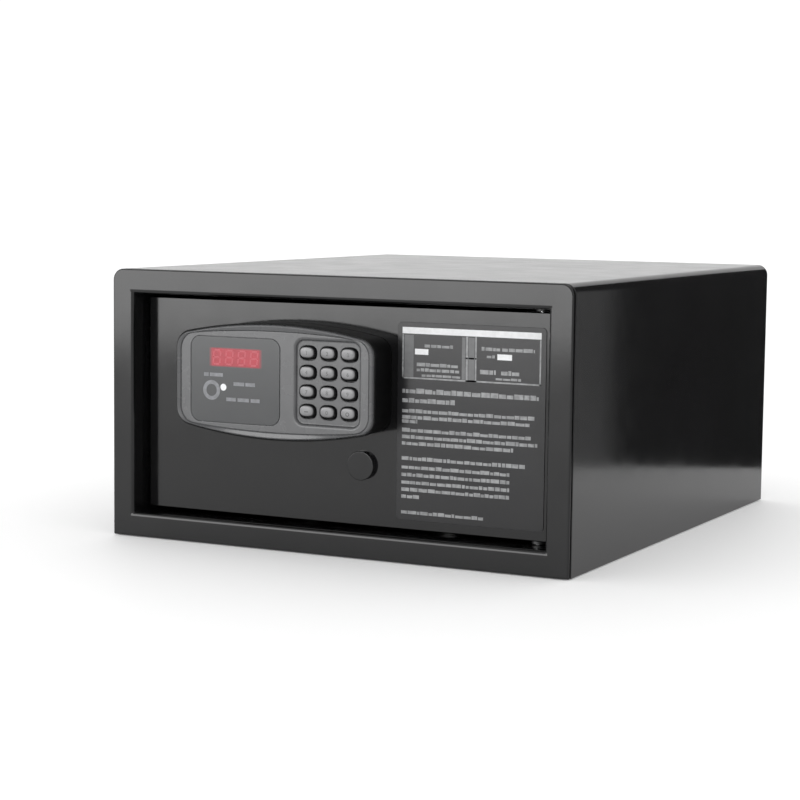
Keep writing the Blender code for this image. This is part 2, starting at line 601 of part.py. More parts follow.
def make_drive():
    """Gearmotor, its shaft and pinion, and the rack that moves the carrier."""
    axis_z = RACK_PITCH_Z + PITCH_RADIUS
    motor_y = (DOOR_BACK + 0.6 * MM, DOOR_BACK + 23 * MM)
    half_x, half_z = 6 * MM, 5 * MM
    motor = box("gearmotor", (PINION_X - half_x, PINION_X + half_x), motor_y,
                (axis_z - half_z, axis_z + half_z), ZINC)
    bevel(motor, 0.8 * MM, 1)
    strap = 1.2 * MM
    clear_x, clear_z = half_x + GAP, half_z + GAP
    strap_y = (DOOR_BACK + GAP, DOOR_BACK + 12 * MM)
    bracket = box("motor_bracket", (PINION_X - 16 * MM, PINION_X + 16 * MM), strap_y,
                  (axis_z - clear_z - strap, axis_z + clear_z + strap), ZINC)
    cut(bracket, box("motor_seat", (PINION_X - clear_x, PINION_X + clear_x),
                     (strap_y[0] - MM, strap_y[1] + MM), (axis_z - clear_z, axis_z + clear_z)))
    for side in (-1, 1):
        near, far = sorted((PINION_X + side * (clear_x + strap), PINION_X + side * 30 * MM))
        cut(bracket, box(f"strap_relief_{side + 2}", (near, far),
                         (strap_y[0] + 1.5 * MM, strap_y[1] + MM), (axis_z - 20 * MM, axis_z + 20 * MM)))
    pinion_y = (RACK_Y + 0.2 * MM, RACK_Y + RACK_THICK - 0.2 * MM)
    shaft_start = Vector((PINION_X, motor_y[1] + GAP, axis_z))
    rod("motor_shaft", shaft_start, Y, pinion_y[1] + 0.4 * MM - shaft_start.y, 1.5 * MM, STEEL, segments=20)
    pinion = extruded("drive_pinion", pinion_outline(), (pinion_y[0] - RACK_Y, pinion_y[1] - RACK_Y), NYLON)
    pinion.location = (PINION_X, RACK_Y, axis_z)
    bore = rod("pinion_bore", (PINION_X, RACK_Y - 5 * MM, axis_z), Y, 20 * MM, 1.5 * MM + GAP)
    cut(pinion, bore)
    extruded("gear_rack", rack_outline(), (RACK_Y, RACK_Y + RACK_THICK), NYLON)


def rack_outline():
    """Teeth under the pinion along the bolt throw, and an arm down to the override cam."""
    pitch = math.pi * MODULE
    lean = math.tan(PRESSURE_ANGLE)
    half = pitch / 4 - BACKLASH / 4
    root, tip = RACK_PITCH_Z - 1.25 * MODULE, RACK_PITCH_Z + MODULE
    teeth = []
    for i in range(-3, 9):
        middle = PINION_X + i * pitch
        teeth += [(middle - half - 1.25 * MODULE * lean, root), (middle - half + MODULE * lean, tip),
                  (middle + half - MODULE * lean, tip), (middle + half + 1.25 * MODULE * lean, root)]
    start = LEFT + BOLT_TAIL + 8 * MM + GAP
    arm = OVERRIDE_X + 2.7 * MM
    arm_end = arm + 6 * MM
    under, arm_low = root - 7 * MM, OVERRIDE_Z - CAM_REACH - 4 * MM
    outline = [(start, root)] + teeth
    return outline + [(arm_end, root), (arm_end, arm_low), (arm, arm_low), (arm, under), (start, under)]


def make_override():
    """Emergency key cylinder: housing, nut, turning core with its cam, and the cap over the keyway."""
    centre = (OVERRIDE_X, DOOR_FRONT, OVERRIDE_Z)
    face, rear, bore = 0.6 * MM, 26 * MM, 4.6 * MM
    turned("override_cylinder", [(7.5 * MM, rear), (7.5 * MM, face + 0.5 * MM), (7 * MM, face),
                                 (bore + RUNNING, face), (bore + RUNNING, rear)],
           centre, Y, ZINC, steps=28, ring=True)
    nut_y = DOOR_THICK + 0.4 * MM
    bm = bmesh.new()
    bmesh.ops.create_cone(bm, cap_ends=True, segments=6, radius1=12.5 * MM, radius2=12.5 * MM, depth=4 * MM)
    nut = add("cylinder_nut", bm, ZINC, at=(OVERRIDE_X, DOOR_FRONT + nut_y + 2 * MM, OVERRIDE_Z))
    nut.rotation_euler = Z.rotation_difference(Y).to_euler()
    cut(nut, rod("nut_bore", (OVERRIDE_X, DOOR_FRONT, OVERRIDE_Z), Y, 20 * MM, 7.5 * MM + GAP, segments=28))
    core_end = 28 * MM
    core = turned("cylinder_core", [(0, core_end), (bore, core_end), (bore, face), (0, face)],
                  centre, Y, BRASS, steps=28)
    cut(core, box("keyway", (OVERRIDE_X - 0.6 * MM, OVERRIDE_X + 0.6 * MM),
                  (DOOR_FRONT - 5 * MM, DOOR_FRONT + 14 * MM),
                  (OVERRIDE_Z - 3.4 * MM, OVERRIDE_Z + 2.6 * MM)))
    cam_y = (DOOR_FRONT + core_end + GAP, DOOR_FRONT + core_end + GAP + 2.5 * MM)
    hub, nose = 5.5 * MM, 4 * MM
    outline = arc((0, 0), hub, -80, 80, 8) + arc((-CAM_REACH, 0), nose, 100, 260, 6)
    cam = extruded("override_cam", outline, (cam_y[0] - DOOR_FRONT, cam_y[1] - DOOR_FRONT), ZINC)
    cam.location = centre
    join(cam, rod("cam_pin", (OVERRIDE_X - CAM_REACH, cam_y[0] + MM, OVERRIDE_Z), Y, 6.2 * MM, 2 * MM))
    lip, skirt_out, skirt_in = 10.5 * MM, 9.4 * MM, 8 * MM
    proud, under, crown = 4.2 * MM, 0.3 * MM, 0.8 * MM
    turned("override_cap", [(skirt_out, DOOR_THICK - 0.4 * MM), (skirt_out, -under), (lip, -under),
                            (lip, -proud + crown), (lip - crown, -proud), (0, -proud - 0.3 * MM),
                            (0, -1.6 * MM), (skirt_in, -1.6 * MM), (skirt_in, DOOR_THICK - 0.4 * MM)],
           centre, Y, DOOR_COAT, steps=36, ring=True)


def make_inner_cover():
    """A pressed cover over the lock work, with rails for the battery lid."""
    low, high = DOOR_BACK + GAP, COVER_BACK

    def loop(inset, y):
        outline = rounded((COVER_X[0] + inset, COVER_X[1] - inset),
                          (COVER_Z[0] + inset, COVER_Z[1] - inset), [COVER_CORNER - inset] * 4, 4)
        return [(px, y, pz) for px, pz in outline]

    sheet = COVER_SHEET
    pressing = [loop(sheet, high - sheet), loop(sheet, low), loop(0, low), loop(0, high - 2 * MM),
                loop(0.6 * MM, high - 0.6 * MM), loop(2 * MM, high)]
    cover = lofted("inner_cover", pressing, DOOR_COAT)
    for i, edge in enumerate((BAY_Z[0] - 4 * MM, BAY_Z[1] + 2.3 * MM)):
        rail_x = (BAY_X[0] - 68 * MM, BAY_X[1] + 4 * MM)
        overhang = (edge, edge + 4.6 * MM) if i == 0 else (edge - 2.9 * MM, edge + 1.7 * MM)
        join(cover, box(f"lid_rail_{i + 1}", rail_x, (high - 0.5 * MM, high + 3.6 * MM),
                        (edge, edge + 1.7 * MM)))
        join(cover, box(f"rail_lip_{i + 1}", rail_x, (high + 2.2 * MM, high + 3.6 * MM), overhang))
    cut(cover, box("battery_opening", BAY_X, (high - 5 * MM, high + 1 * MM), BAY_Z))
    for i, z in enumerate(BOLT_Z):
        cut(cover, rod(f"bolt_slot_{i + 1}", (COVER_X[0] - 5 * MM, BOLT_Y, z), X, 10 * MM,
                       BOLT_RADIUS + 0.6 * MM, segments=32))
    for i, (x, z) in enumerate((x, z) for x in POST_X for z in POST_Z):
        cut(cover, rod(f"cover_screw_hole_{i + 1}", (x, high - 5 * MM, z), Y, 10 * MM, 2.3 * MM,
                       segments=16))
        turned(f"cover_screw_{i + 1}",
               [(0, 2.3 * MM), (2.2 * MM, 2.1 * MM), (3.5 * MM, 1.1 * MM), (3.5 * MM, 0), (1.7 * MM, 0),
                (1.7 * MM, -6 * MM), (0, -7 * MM)],
               (x, high + GAP, z), Y, ZINC, steps=16)


def make_battery_bay():
    """Tray for four cells, and the lid that slides over it on the cover."""
    wall, grow = 1.4 * MM, 1.1 * MM
    top = COVER_BACK - COVER_SHEET - GAP
    floor = top - 19 * MM
    outer_x, outer_z = (BAY_X[0] - grow, BAY_X[1] + grow), (BAY_Z[0] - grow, BAY_Z[1] + grow)
    tray = box("battery_box", outer_x, (floor, top), outer_z, BLACK_PLASTIC)
    cut(tray, box("tray_hollow", (outer_x[0] + wall, outer_x[1] - wall), (floor + wall, top + 5 * MM),
                  (outer_z[0] + wall, outer_z[1] - wall)))
    middle = sum(BAY_X) / 2
    pitch = 2 * CELL_RADIUS + 0.6 * MM
    start_z = sum(BAY_Z) / 2 - CELL_LENGTH / 2
    cell_y = floor + wall + CELL_RADIUS + 0.4 * MM
    for i in range(4):
        up = Z if i % 2 else -Z
        foot = start_z if i % 2 else start_z + CELL_LENGTH
        body = CELL_LENGTH - 1.5 * MM
        turned(f"battery_cell_{i + 1}",
               [(0, CELL_LENGTH), (2.7 * MM, CELL_LENGTH), (2.7 * MM, body), (CELL_RADIUS - 0.6 * MM, body),
                (CELL_RADIUS, body - 0.6 * MM), (CELL_RADIUS, 0), (0, 0)],
               (middle + (i - 1.5) * pitch, cell_y, foot), up, CELL_WRAP, steps=20)
    lid_y = (COVER_BACK + GAP, COVER_BACK + 1.9 * MM)
    lid = box("battery_lid", (BAY_X[0] - 2 * MM, BAY_X[1] + 2 * MM), lid_y,
              (BAY_Z[0] - 2 * MM, BAY_Z[1] + 2 * MM), BLACK_PLASTIC)
    for i in range(4):
        x = BAY_X[0] + (8 + 4 * i) * MM
        join(lid, box(f"lid_grip_{i + 1}", (x, x + 1.6 * MM), (lid_y[1] - 0.4 * MM, lid_y[1] + 1 * MM),
                      (BAY_Z[0] + 16 * MM, BAY_Z[1] - 16 * MM)))


def make_motor_cable():
    """The lead from the circuit board through the door plate to the gearmotor."""
    axis_z = RACK_PITCH_Z + PITCH_RADIUS
    start_y = PANEL_FRONT + 14 * MM
    route = [(PANEL_X, start_y, PANEL_Z), (PANEL_X, DOOR_FRONT, PANEL_Z),
             (PANEL_X, DOOR_BACK + 6 * MM, PANEL_Z + MM),
             (PANEL_X + 2 * MM, DOOR_BACK + 15 * MM, PANEL_Z + 2 * MM),
             (PINION_X, DOOR_BACK + 18 * MM, PANEL_Z - MM),
             (PINION_X, DOOR_BACK + 18.5 * MM, axis_z + 5.5 * MM)]
    curve = bpy.data.curves.new("motor_cable", "CURVE")
    curve.dimensions = "3D"
    curve.bevel_depth = 1.4 * MM
    curve.bevel_resolution = 2
    curve.use_fill_caps = True
    spline = curve.splines.new("POLY")
    fine = smooth_route(route)
    spline.points.add(len(fine) - 1)
    for point, place in zip(spline.points, fine):
        point.co = (*place, 1)
    curve.materials.append(CABLE_PVC)
    cable = bpy.data.objects.new("motor_cable", curve)
    PARTS.objects.link(cable)


def smooth_route(route, steps=5):
    """Points on a Catmull-Rom curve through the route."""
    ends = [route[0]] + list(route) + [route[-1]]
    points = []
    for a, b, c, d in zip(ends, ends[1:], ends[2:], ends[3:]):
        a, b, c, d = (Vector(p) for p in (a, b, c, d))
        for i in range(steps):
            t = i / steps
            points.append(0.5 * (2 * b + (c - a) * t + (2 * a - 5 * b + 4 * c - d) * t ** 2
                                 + (3 * b - a - 3 * c + d) * t ** 3))
    return points + [Vector(route[-1])]


# ---------------------------------------------------------------- moving groups

def joint_empty(name, place):
    empty = bpy.data.objects.new(name, None)
    empty.location = place
    PARTS.objects.link(empty)
    return empty


def carry(empty, names):
    """Parents objects to an empty on their joint's axis, keeping their places."""
    bpy.context.view_layer.update()
    for name in names:
        obj = bpy.data.objects[name]
        obj.parent = empty
        obj.matrix_parent_inverse = Matrix.Identity(4)
        obj.location = obj.location - empty.matrix_world.translation
    bpy.context.view_layer.update()


def group_moving_parts():
    door = joint_empty("door_pivot", PIVOT)
    bpy.context.view_layer.update()
    groups = {
        "bolt_slide": ((LEFT + BOLT_TAIL, BOLT_Y, sum(BOLT_Z) / 2),
                       ("live_bolt_lower", "live_bolt_upper", "bolt_carrier", "gear_rack")),
        "pinion_axis": ((PINION_X, RACK_Y, RACK_PITCH_Z + PITCH_RADIUS), ("drive_pinion", "motor_shaft")),
        "cylinder_axis": ((OVERRIDE_X, DOOR_FRONT, OVERRIDE_Z), ("cylinder_core", "override_cam")),
    }
    fixed = [name for name in DOOR_FIXED]
    for name, (place, members) in groups.items():
        empty = joint_empty(name, place)
        carry(empty, members)
        fixed.append(name)
    carry(door, fixed + ["override_cap", "battery_lid"] + [f"key_{name}" for name in KEY_NAMES])


DOOR_FIXED = (
    "door_plate", "hinge_bracket_top", "hinge_bracket_bottom", "bolt_guide", "inner_cover", "cover_screw_1",
    "cover_screw_2", "cover_screw_3", "cover_screw_4", "panel_housing", "panel_bezel", "display_lens",
    "display_module", "circuit_board", "keypad_mat", "panel_screw_left", "panel_screw_right",
    "instruction_label", "override_cylinder", "cylinder_nut", "gearmotor", "motor_bracket", "motor_cable",
    "battery_box", "battery_cell_1", "battery_cell_2", "battery_cell_3", "battery_cell_4",
)


def main():
    make_body_wrap()
    make_front_frame()
    make_base_plate()
    make_back_panel()
    make_floor_mat()
    make_hinge_pins()
    make_door_plate()
    make_hinge_brackets()
    make_instruction_label()
    make_panel_bezel()
    make_panel_housing()
    make_panel_inside()
    make_keys()
    make_bolts()
    make_bolt_guide()
    make_drive()
    make_override()
    make_inner_cover()
    make_battery_bay()
    make_motor_cable()
    group_moving_parts()


main()
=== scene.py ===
"""Looks of the in-room safe: bent sheet metal, moulded panel, keys, display, label, finishes and the studio.

Metres, +Z up, the door faces -Y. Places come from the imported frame's own boxes.
"""

import json
import math
import random

import bmesh
import bpy
from mathutils import Matrix, Vector


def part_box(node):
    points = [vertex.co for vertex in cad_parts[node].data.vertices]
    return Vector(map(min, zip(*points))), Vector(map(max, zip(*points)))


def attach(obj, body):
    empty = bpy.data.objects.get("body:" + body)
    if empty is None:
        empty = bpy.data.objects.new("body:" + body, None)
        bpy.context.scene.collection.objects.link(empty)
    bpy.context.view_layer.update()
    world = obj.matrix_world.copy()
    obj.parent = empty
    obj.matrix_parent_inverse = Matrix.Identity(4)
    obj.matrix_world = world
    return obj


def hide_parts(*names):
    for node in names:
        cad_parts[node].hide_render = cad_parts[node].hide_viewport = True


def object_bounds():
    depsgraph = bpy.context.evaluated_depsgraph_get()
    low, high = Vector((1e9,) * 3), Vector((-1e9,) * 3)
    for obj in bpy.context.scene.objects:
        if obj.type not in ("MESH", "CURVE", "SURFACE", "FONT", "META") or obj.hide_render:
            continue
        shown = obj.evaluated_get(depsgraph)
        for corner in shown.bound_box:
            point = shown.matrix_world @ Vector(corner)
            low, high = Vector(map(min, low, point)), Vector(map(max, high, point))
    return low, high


MM = 0.001

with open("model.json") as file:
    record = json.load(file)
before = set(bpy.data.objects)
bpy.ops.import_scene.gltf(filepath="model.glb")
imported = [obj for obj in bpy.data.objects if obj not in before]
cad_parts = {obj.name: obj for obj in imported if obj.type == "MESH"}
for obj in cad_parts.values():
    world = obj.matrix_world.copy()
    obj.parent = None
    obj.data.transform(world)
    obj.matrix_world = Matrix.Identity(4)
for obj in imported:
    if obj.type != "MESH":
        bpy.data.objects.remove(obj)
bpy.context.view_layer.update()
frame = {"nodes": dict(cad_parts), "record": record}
RECORD = frame["record"]
BODY = {node: body for body, nodes in RECORD["behaviour"]["bodies"].items() for node in nodes}
SLOT = {part["node"]: part["material_slot"] for part in RECORD["subparts"]}
SCENE = bpy.context.scene


# ---------------------------------------------------------------- finishes

def new_finish(name, roughness, metallic=0.0, **sockets):
    """A material with its shader and its node tree. Keywords set plain sockets of the shader."""
    made = bpy.data.materials.new(name)
    made.use_nodes = True
    shader = made.node_tree.nodes["Principled BSDF"]
    shader.inputs["Roughness"].default_value = roughness
    shader.inputs["Metallic"].default_value = metallic
    for socket, value in sockets.items():
        shader.inputs[socket.replace("_", " ")].default_value = value
    return made, made.node_tree, shader


def feed(tree, socket, source):
    """Links an output, or sets a plain value."""
    if isinstance(source, bpy.types.NodeSocket):
        tree.links.new(source, socket)
    else:
        socket.default_value = source


def position(tree, stretch=(1, 1, 1)):
    """Object coordinates, squeezed along each axis by `stretch`."""
    coordinate = tree.nodes.new("ShaderNodeTexCoord").outputs["Object"]
    mapping = tree.nodes.new("ShaderNodeMapping")
    mapping.inputs["Scale"].default_value = stretch
    tree.links.new(coordinate, mapping.inputs["Vector"])
    return mapping.outputs["Vector"]


def place_along(tree):
    """Object coordinates taken apart, as outputs named X, Y and Z."""
    parts = tree.nodes.new("ShaderNodeSeparateXYZ")
    tree.links.new(position(tree), parts.inputs["Vector"])
    return parts.outputs


def cloud(tree, size, detail, stretch=(1, 1, 1)):
    """Noise whose blobs are about `size` metres across."""
    noise = tree.nodes.new("ShaderNodeTexNoise")
    noise.inputs["Scale"].default_value = 0.5 / size
    noise.inputs["Detail"].default_value = detail
    tree.links.new(position(tree, stretch), noise.inputs["Vector"])
    return noise.outputs["Fac"]


def spread(tree, value, low, high, start=0.35, end=0.65):
    """Maps start..end of a value to low..high."""
    ramp = tree.nodes.new("ShaderNodeMapRange")
    feed(tree, ramp.inputs["Value"], value)
    for socket, number in (("From Min", start), ("From Max", end), ("To Min", low), ("To Max", high)):
        ramp.inputs[socket].default_value = number
    return ramp.outputs["Result"]


def calc(tree, operation, *values):
    """A sum, product or comparison of outputs and plain values."""
    node = tree.nodes.new("ShaderNodeMath")
    node.operation = operation
    for socket, value in zip(node.inputs, values):
        feed(tree, socket, value)
    return node.outputs["Value"]


def mixed(tree, share, first, second):
    """A colour that goes from first to second as share goes from 0 to 1."""
    mix = tree.nodes.new("ShaderNodeMix")
    mix.data_type = "RGBA"
    feed(tree, mix.inputs["Factor"], share)
    for socket, colour in ((mix.inputs["A"], first), (mix.inputs["B"], second)):
        feed(tree, socket, colour if isinstance(colour, bpy.types.NodeSocket) else (*colour, 1))
    return mix.outputs["Result"]


def relief(tree, shader, height, depth):
    """Raises the surface by height times depth."""
    bump = tree.nodes.new("ShaderNodeBump")
    bump.inputs["Distance"].default_value = depth
    feed(tree, bump.inputs["Height"], height)
    tree.links.new(bump.outputs["Normal"], shader.inputs["Normal"])


def edge_highlight_and_wear(tree, reach, patch):
    """0 on open surfaces to 1 on edges, broken up by patches: where the edges get a painted highlight and a
    worn colour.
    """
    rounded_normal = tree.nodes.new("ShaderNodeBevel")
    rounded_normal.samples = 4
    rounded_normal.inputs["Radius"].default_value = reach
    flat_normal = tree.nodes.new("ShaderNodeNewGeometry").outputs["Normal"]
    compare = tree.nodes.new("ShaderNodeVectorMath")
    compare.operation = "DOT_PRODUCT"
    tree.links.new(rounded_normal.outputs["Normal"], compare.inputs[0])
    tree.links.new(flat_normal, compare.inputs[1])
    edge = spread(tree, compare.outputs["Value"], 1, 0, 0.86, 0.98)
    return calc(tree, "MULTIPLY", edge, spread(tree, cloud(tree, patch, 4), 0, 1, 0.42, 0.62))


def tinted(tree, shader, colour, variation, patch, worn=None, highlight_and_wear=None):
    """Base colour with a slow variation, and a paler colour where the mask says: worn edges with a painted
    highlight.
    """
    lighter = tuple(min(channel * (1 + variation), 1) for channel in colour)
    darker = tuple(channel * (1 - variation) for channel in colour)
    shade = mixed(tree, spread(tree, cloud(tree, patch, 3), 0, 1), darker, lighter)
    # The paler edge colour is partly worn and partly a painted highlight along the rounded edges.
    if worn:
        shade = mixed(tree, highlight_and_wear, shade, worn)
    tree.links.new(shade, shader.inputs["Base Color"])


def powder_coat(name, colour, roughness):
    """Baked black powder: orange peel, a finer grain, a slow change of gloss, and paler edges that are
    partly worn and partly a painted highlight.
    """
    # The pale grey edge colour stands partly for worn edges and partly for a painted highlight on the
    # rounded edges.
    rubbed_and_highlit, peel = (0.07, 0.07, 0.072), 0.012 * MM
    made, tree, shader = new_finish(name, roughness, IOR=1.4)
    tinted(tree, shader, colour, 0.12, 45 * MM, rubbed_and_highlit, edge_highlight_and_wear(tree, 0.6 * MM, 14 * MM))
    gloss = spread(tree, cloud(tree, 16 * MM, 3), roughness - 0.015, roughness + 0.02)
    tree.links.new(gloss, shader.inputs["Roughness"])
    grain = calc(tree, "MULTIPLY", cloud(tree, 0.45 * MM, 1), 0.35)
    relief(tree, shader, calc(tree, "ADD", cloud(tree, 1.6 * MM, 2), grain), peel)
    return made


def moulded(name, colour, roughness, texture=0.5 * MM, depth=0.012 * MM, variation=0.08, **sockets):
    """Spark-eroded plastic: a fine even texture, slightly uneven gloss and paler edges, partly worn and
    partly a painted highlight.
    """
    made, tree, shader = new_finish(name, roughness, **sockets)
    paler = tuple(min(channel * 1.25 + 0.004, 1) for channel in colour)
    # Paler edges: partly worn, partly a painted highlight along the rounded edges.
    tinted(tree, shader, colour, variation, 12 * MM, paler, edge_highlight_and_wear(tree, 0.4 * MM, 6 * MM))
    gloss = spread(tree, cloud(tree, 7 * MM, 3), roughness - 0.03, roughness + 0.03, 0.1, 0.9)
    tree.links.new(gloss, shader.inputs["Roughness"])
    relief(tree, shader, cloud(tree, texture, 2), depth)
    return made


def metal(name, colour, roughness, stretch=(1, 1, 1), variation=0.1, patch=6 * MM):
    """Bare or plated metal. A stretch other than 1 turns its grain into brushed lines."""
    made, tree, shader = new_finish(name, roughness, metallic=1.0)
    tinted(tree, shader, colour, variation, patch)
    streaks = cloud(tree, 0.4 * MM, 3, stretch)
    brushed = spread(tree, streaks, -0.07, 0.07)
    gloss = calc(tree, "ADD", brushed, spread(tree, cloud(tree, patch, 2), -0.05, 0.05))
    tree.links.new(calc(tree, "ADD", gloss, roughness), shader.inputs["Roughness"])
    relief(tree, shader, streaks, 0.01 * MM)
    return made


def key_finish():
    """Keys grey on the face, with painted shade down the sides: the colour turns black with depth to stand
    for the shade the sides fall into.
    """
    made, tree, shader = new_finish("key_rubber", 0.28, IOR=1.5)
    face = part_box("key_1")[0].y
    face_edge, side_start = face + 0.45 * MM, face + 1.3 * MM
    # Painted shade: the key's colour goes to black down its sides to stand for their shade.
    side = spread(tree, place_along(tree)["Y"], 0, 1, face_edge, side_start)
    grey = mixed(tree, spread(tree, cloud(tree, 5 * MM, 3), 0, 1), (0.2, 0.2, 0.205), (0.24, 0.24, 0.245))
    tree.links.new(mixed(tree, side, grey, (0.007, 0.007, 0.0075)), shader.inputs["Base Color"])
    gloss = spread(tree, cloud(tree, 4 * MM, 2), 0.24, 0.34, 0.1, 0.9)
    tree.links.new(gloss, shader.inputs["Roughness"])
    relief(tree, shader, cloud(tree, 0.7 * MM, 2), 0.01 * MM)
    return made


def felt_finish():
    """Needled felt: matted fibres, darker where it is pressed down."""
    made, tree, shader = new_finish("grey_felt", 0.95, Sheen_Weight=0.35, Sheen_Roughness=0.5)
    fibres = cloud(tree, 0.5 * MM, 6, (1, 0.35, 1))
    cross = cloud(tree, 0.5 * MM, 6, (0.35, 1, 1))
    matted = calc(tree, "MAXIMUM", fibres, cross)
    shade = mixed(tree, spread(tree, matted, 0, 1), (0.03, 0.03, 0.033), (0.09, 0.09, 0.1))
    pressed = spread(tree, cloud(tree, 60 * MM, 2), 0, 0.5)
    tree.links.new(mixed(tree, pressed, shade, (0.04, 0.04, 0.045)), shader.inputs["Base Color"])
    relief(tree, shader, matted, 0.4 * MM)
    return made


def board_finish():
    """Green solder mask with copper tracks showing through as a lighter grid."""
    made, tree, shader = new_finish("board_green", 0.35, Coat_Weight=0.3)
    bricks = tree.nodes.new("ShaderNodeTexBrick")
    track_pitch = 9 * MM
    bricks.inputs["Scale"].default_value = 1 / track_pitch
    bricks.inputs["Mortar Size"].default_value = 0.05
    tree.links.new(position(tree, (1, 0, 1)), bricks.inputs["Vector"])
    tracks = mixed(tree, bricks.outputs["Fac"], (0.01, 0.1, 0.04), (0.02, 0.2, 0.07))
    mottled = mixed(tree, spread(tree, cloud(tree, 8 * MM, 3), 0, 0.4), tracks, (0.005, 0.06, 0.03))
    tree.links.new(mottled, shader.inputs["Base Color"])
    relief(tree, shader, bricks.outputs["Fac"], 0.03 * MM)
    return made


def cell_finish():
    """Printed shrink wrap on the cells: a dark body with a lighter band near one end."""
    made, tree, shader = new_finish("cell_wrap", 0.28, Coat_Weight=0.4)
    low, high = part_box("battery_cell_1")
    band = calc(tree, "GREATER_THAN", place_along(tree)["Z"], (low.z + high.z) / 2 + 12 * MM)
    shade = mixed(tree, band, (0.03, 0.04, 0.07), (0.45, 0.3, 0.12))
    worn = mixed(tree, spread(tree, cloud(tree, 5 * MM, 4), 0, 0.25), shade, (0.12, 0.12, 0.13))
    tree.links.new(worn, shader.inputs["Base Color"])
    relief(tree, shader, cloud(tree, 3 * MM, 2), 0.05 * MM)
    return made


UNLIT_RED = (0.02, 0.002, 0.003)


def lens_finish():
    """Smoked acrylic, lit red from behind where the display shines through it."""
    made, tree, shader = new_finish("lens_plastic", 0.2, IOR=1.42)
    relief(tree, shader, cloud(tree, 9 * MM, 2), 0.015 * MM)
    low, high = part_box("display_module")
    place = place_along(tree)
    glow = 1.0
    for axis, start, end, soft in (("X", low.x, high.x, 3.2 * MM), ("Z", low.z, high.z, 1.4 * MM)):
        for edge, before, after in ((start, 0, 1), (end, 1, 0)):
            lit = spread(tree, place[axis], before, after, edge - soft / 2, edge + soft / 2)
            glow = calc(tree, "MULTIPLY", glow, lit)
    uneven = spread(tree, cloud(tree, 3 * MM, 2), 0.85, 1)
    smoke = mixed(tree, cloud(tree, 14 * MM, 3), (0.048, 0.05, 0.052), (0.058, 0.06, 0.062))
    tree.links.new(mixed(tree, glow, smoke, UNLIT_RED), shader.inputs["Base Color"])
    light = mixed(tree, calc(tree, "MULTIPLY", glow, uneven), (0, 0, 0), (0.44, 0.02, 0.04))
    tree.links.new(light, shader.inputs["Emission Color"])
    shader.inputs["Emission Strength"].default_value = 1
    return made


def film_finish():
    """Glossy black film of the instruction label."""
    made, tree, shader = new_finish("label_film", 0.2, IOR=1.38)
    shade = mixed(tree, cloud(tree, 25 * MM, 3), (0.011, 0.011, 0.012), (0.017, 0.017, 0.018))
    tree.links.new(shade, shader.inputs["Base Color"])
    gloss = spread(tree, cloud(tree, 30 * MM, 2), 0.17, 0.24, 0.1, 0.9)
    tree.links.new(gloss, shader.inputs["Roughness"])
    relief(tree, shader, cloud(tree, 6 * MM, 2), 0.04 * MM)
    return made


def ink(name, colour, cover):
    """Screen-printed ink, down to `cover` of its colour where it is thin."""
    made, tree, shader = new_finish(name, 0.5)
    thin = tuple(channel * cover for channel in colour)
    shade = mixed(tree, spread(tree, cloud(tree, 1.6 * MM, 3), 0, 1), thin, colour)
    tree.links.new(shade, shader.inputs["Base Color"])
    relief(tree, shader, cloud(tree, 0.3 * MM, 1), 0.01 * MM)
    return made


def lit_ink(name, colour, light):
    """Display segments that glow."""
    made, tree, shader = new_finish(name, 0.3, Emission_Strength=light)
    dimmer = tuple(channel * 0.85 for channel in colour)
    tree.links.new(mixed(tree, cloud(tree, 1 * MM, 2), colour, dimmer), shader.inputs["Emission Color"])
    unlit = mixed(tree, cloud(tree, 3 * MM, 2), UNLIT_RED, (0.03, 0.003, 0.005))
    tree.links.new(unlit, shader.inputs["Base Color"])
    return made


FINISH = {
    "cabinet_coat": powder_coat("cabinet_coat", (0.006, 0.006, 0.0064), 0.115),
    "door_coat": powder_coat("door_coat", (0.006, 0.006, 0.0064), 0.105),
    "bezel_plastic": moulded("bezel_plastic", (0.092, 0.093, 0.096), 0.27, depth=0.006 * MM, variation=0.04,
                             IOR=1.45),
    "housing_plastic": moulded("housing_plastic", (0.0025, 0.0025, 0.0027), 0.42, Specular_IOR_Level=0.12),
    "key_rubber": key_finish(),
    "lens_plastic": lens_finish(),
    "led_red": moulded("led_red", (0.35, 0.02, 0.03), 0.3),
    "label_film": film_finish(),
    "zinc_plate": metal("zinc_plate", (0.5, 0.51, 0.505), 0.38, variation=0.05, patch=9 * MM),
    "bright_steel": metal("bright_steel", (0.6, 0.6, 0.61), 0.24, (0.2, 1, 1)),
    "brass": metal("brass", (0.66, 0.47, 0.2), 0.3, variation=0.12),
    "white_nylon": moulded("white_nylon", (0.72, 0.7, 0.64), 0.42, 0.9 * MM, 0.02 * MM, 0.04),
    "board_green": board_finish(),
    "black_plastic": moulded("black_plastic", (0.02, 0.02, 0.021), 0.42, 0.6 * MM, 0.02 * MM),
    "cell_wrap": cell_finish(),
    "cable_pvc": moulded("cable_pvc", (0.015, 0.015, 0.016), 0.45, 0.8 * MM, 0.02 * MM),
    "grey_felt": felt_finish(),
}
PALE_INK = ink("label_ink", (0.3, 0.305, 0.31), 0.6)
TINT_INK = ink("label_tint", (0.12, 0.122, 0.125), 0.85)
BRIGHT_INK = ink("label_header_ink", (0.85, 0.86, 0.87), 0.9)
SOFT_INK = ink("panel_ink", (0.2, 0.205, 0.22), 0.7)
KEY_INK = ink("key_ink", (0.06, 0.06, 0.062), 0.8)
SEGMENT_LIGHT = lit_ink("display_segments", (0.48, 0.03, 0.055), 1.0)


# ---------------------------------------------------------------- making pieces

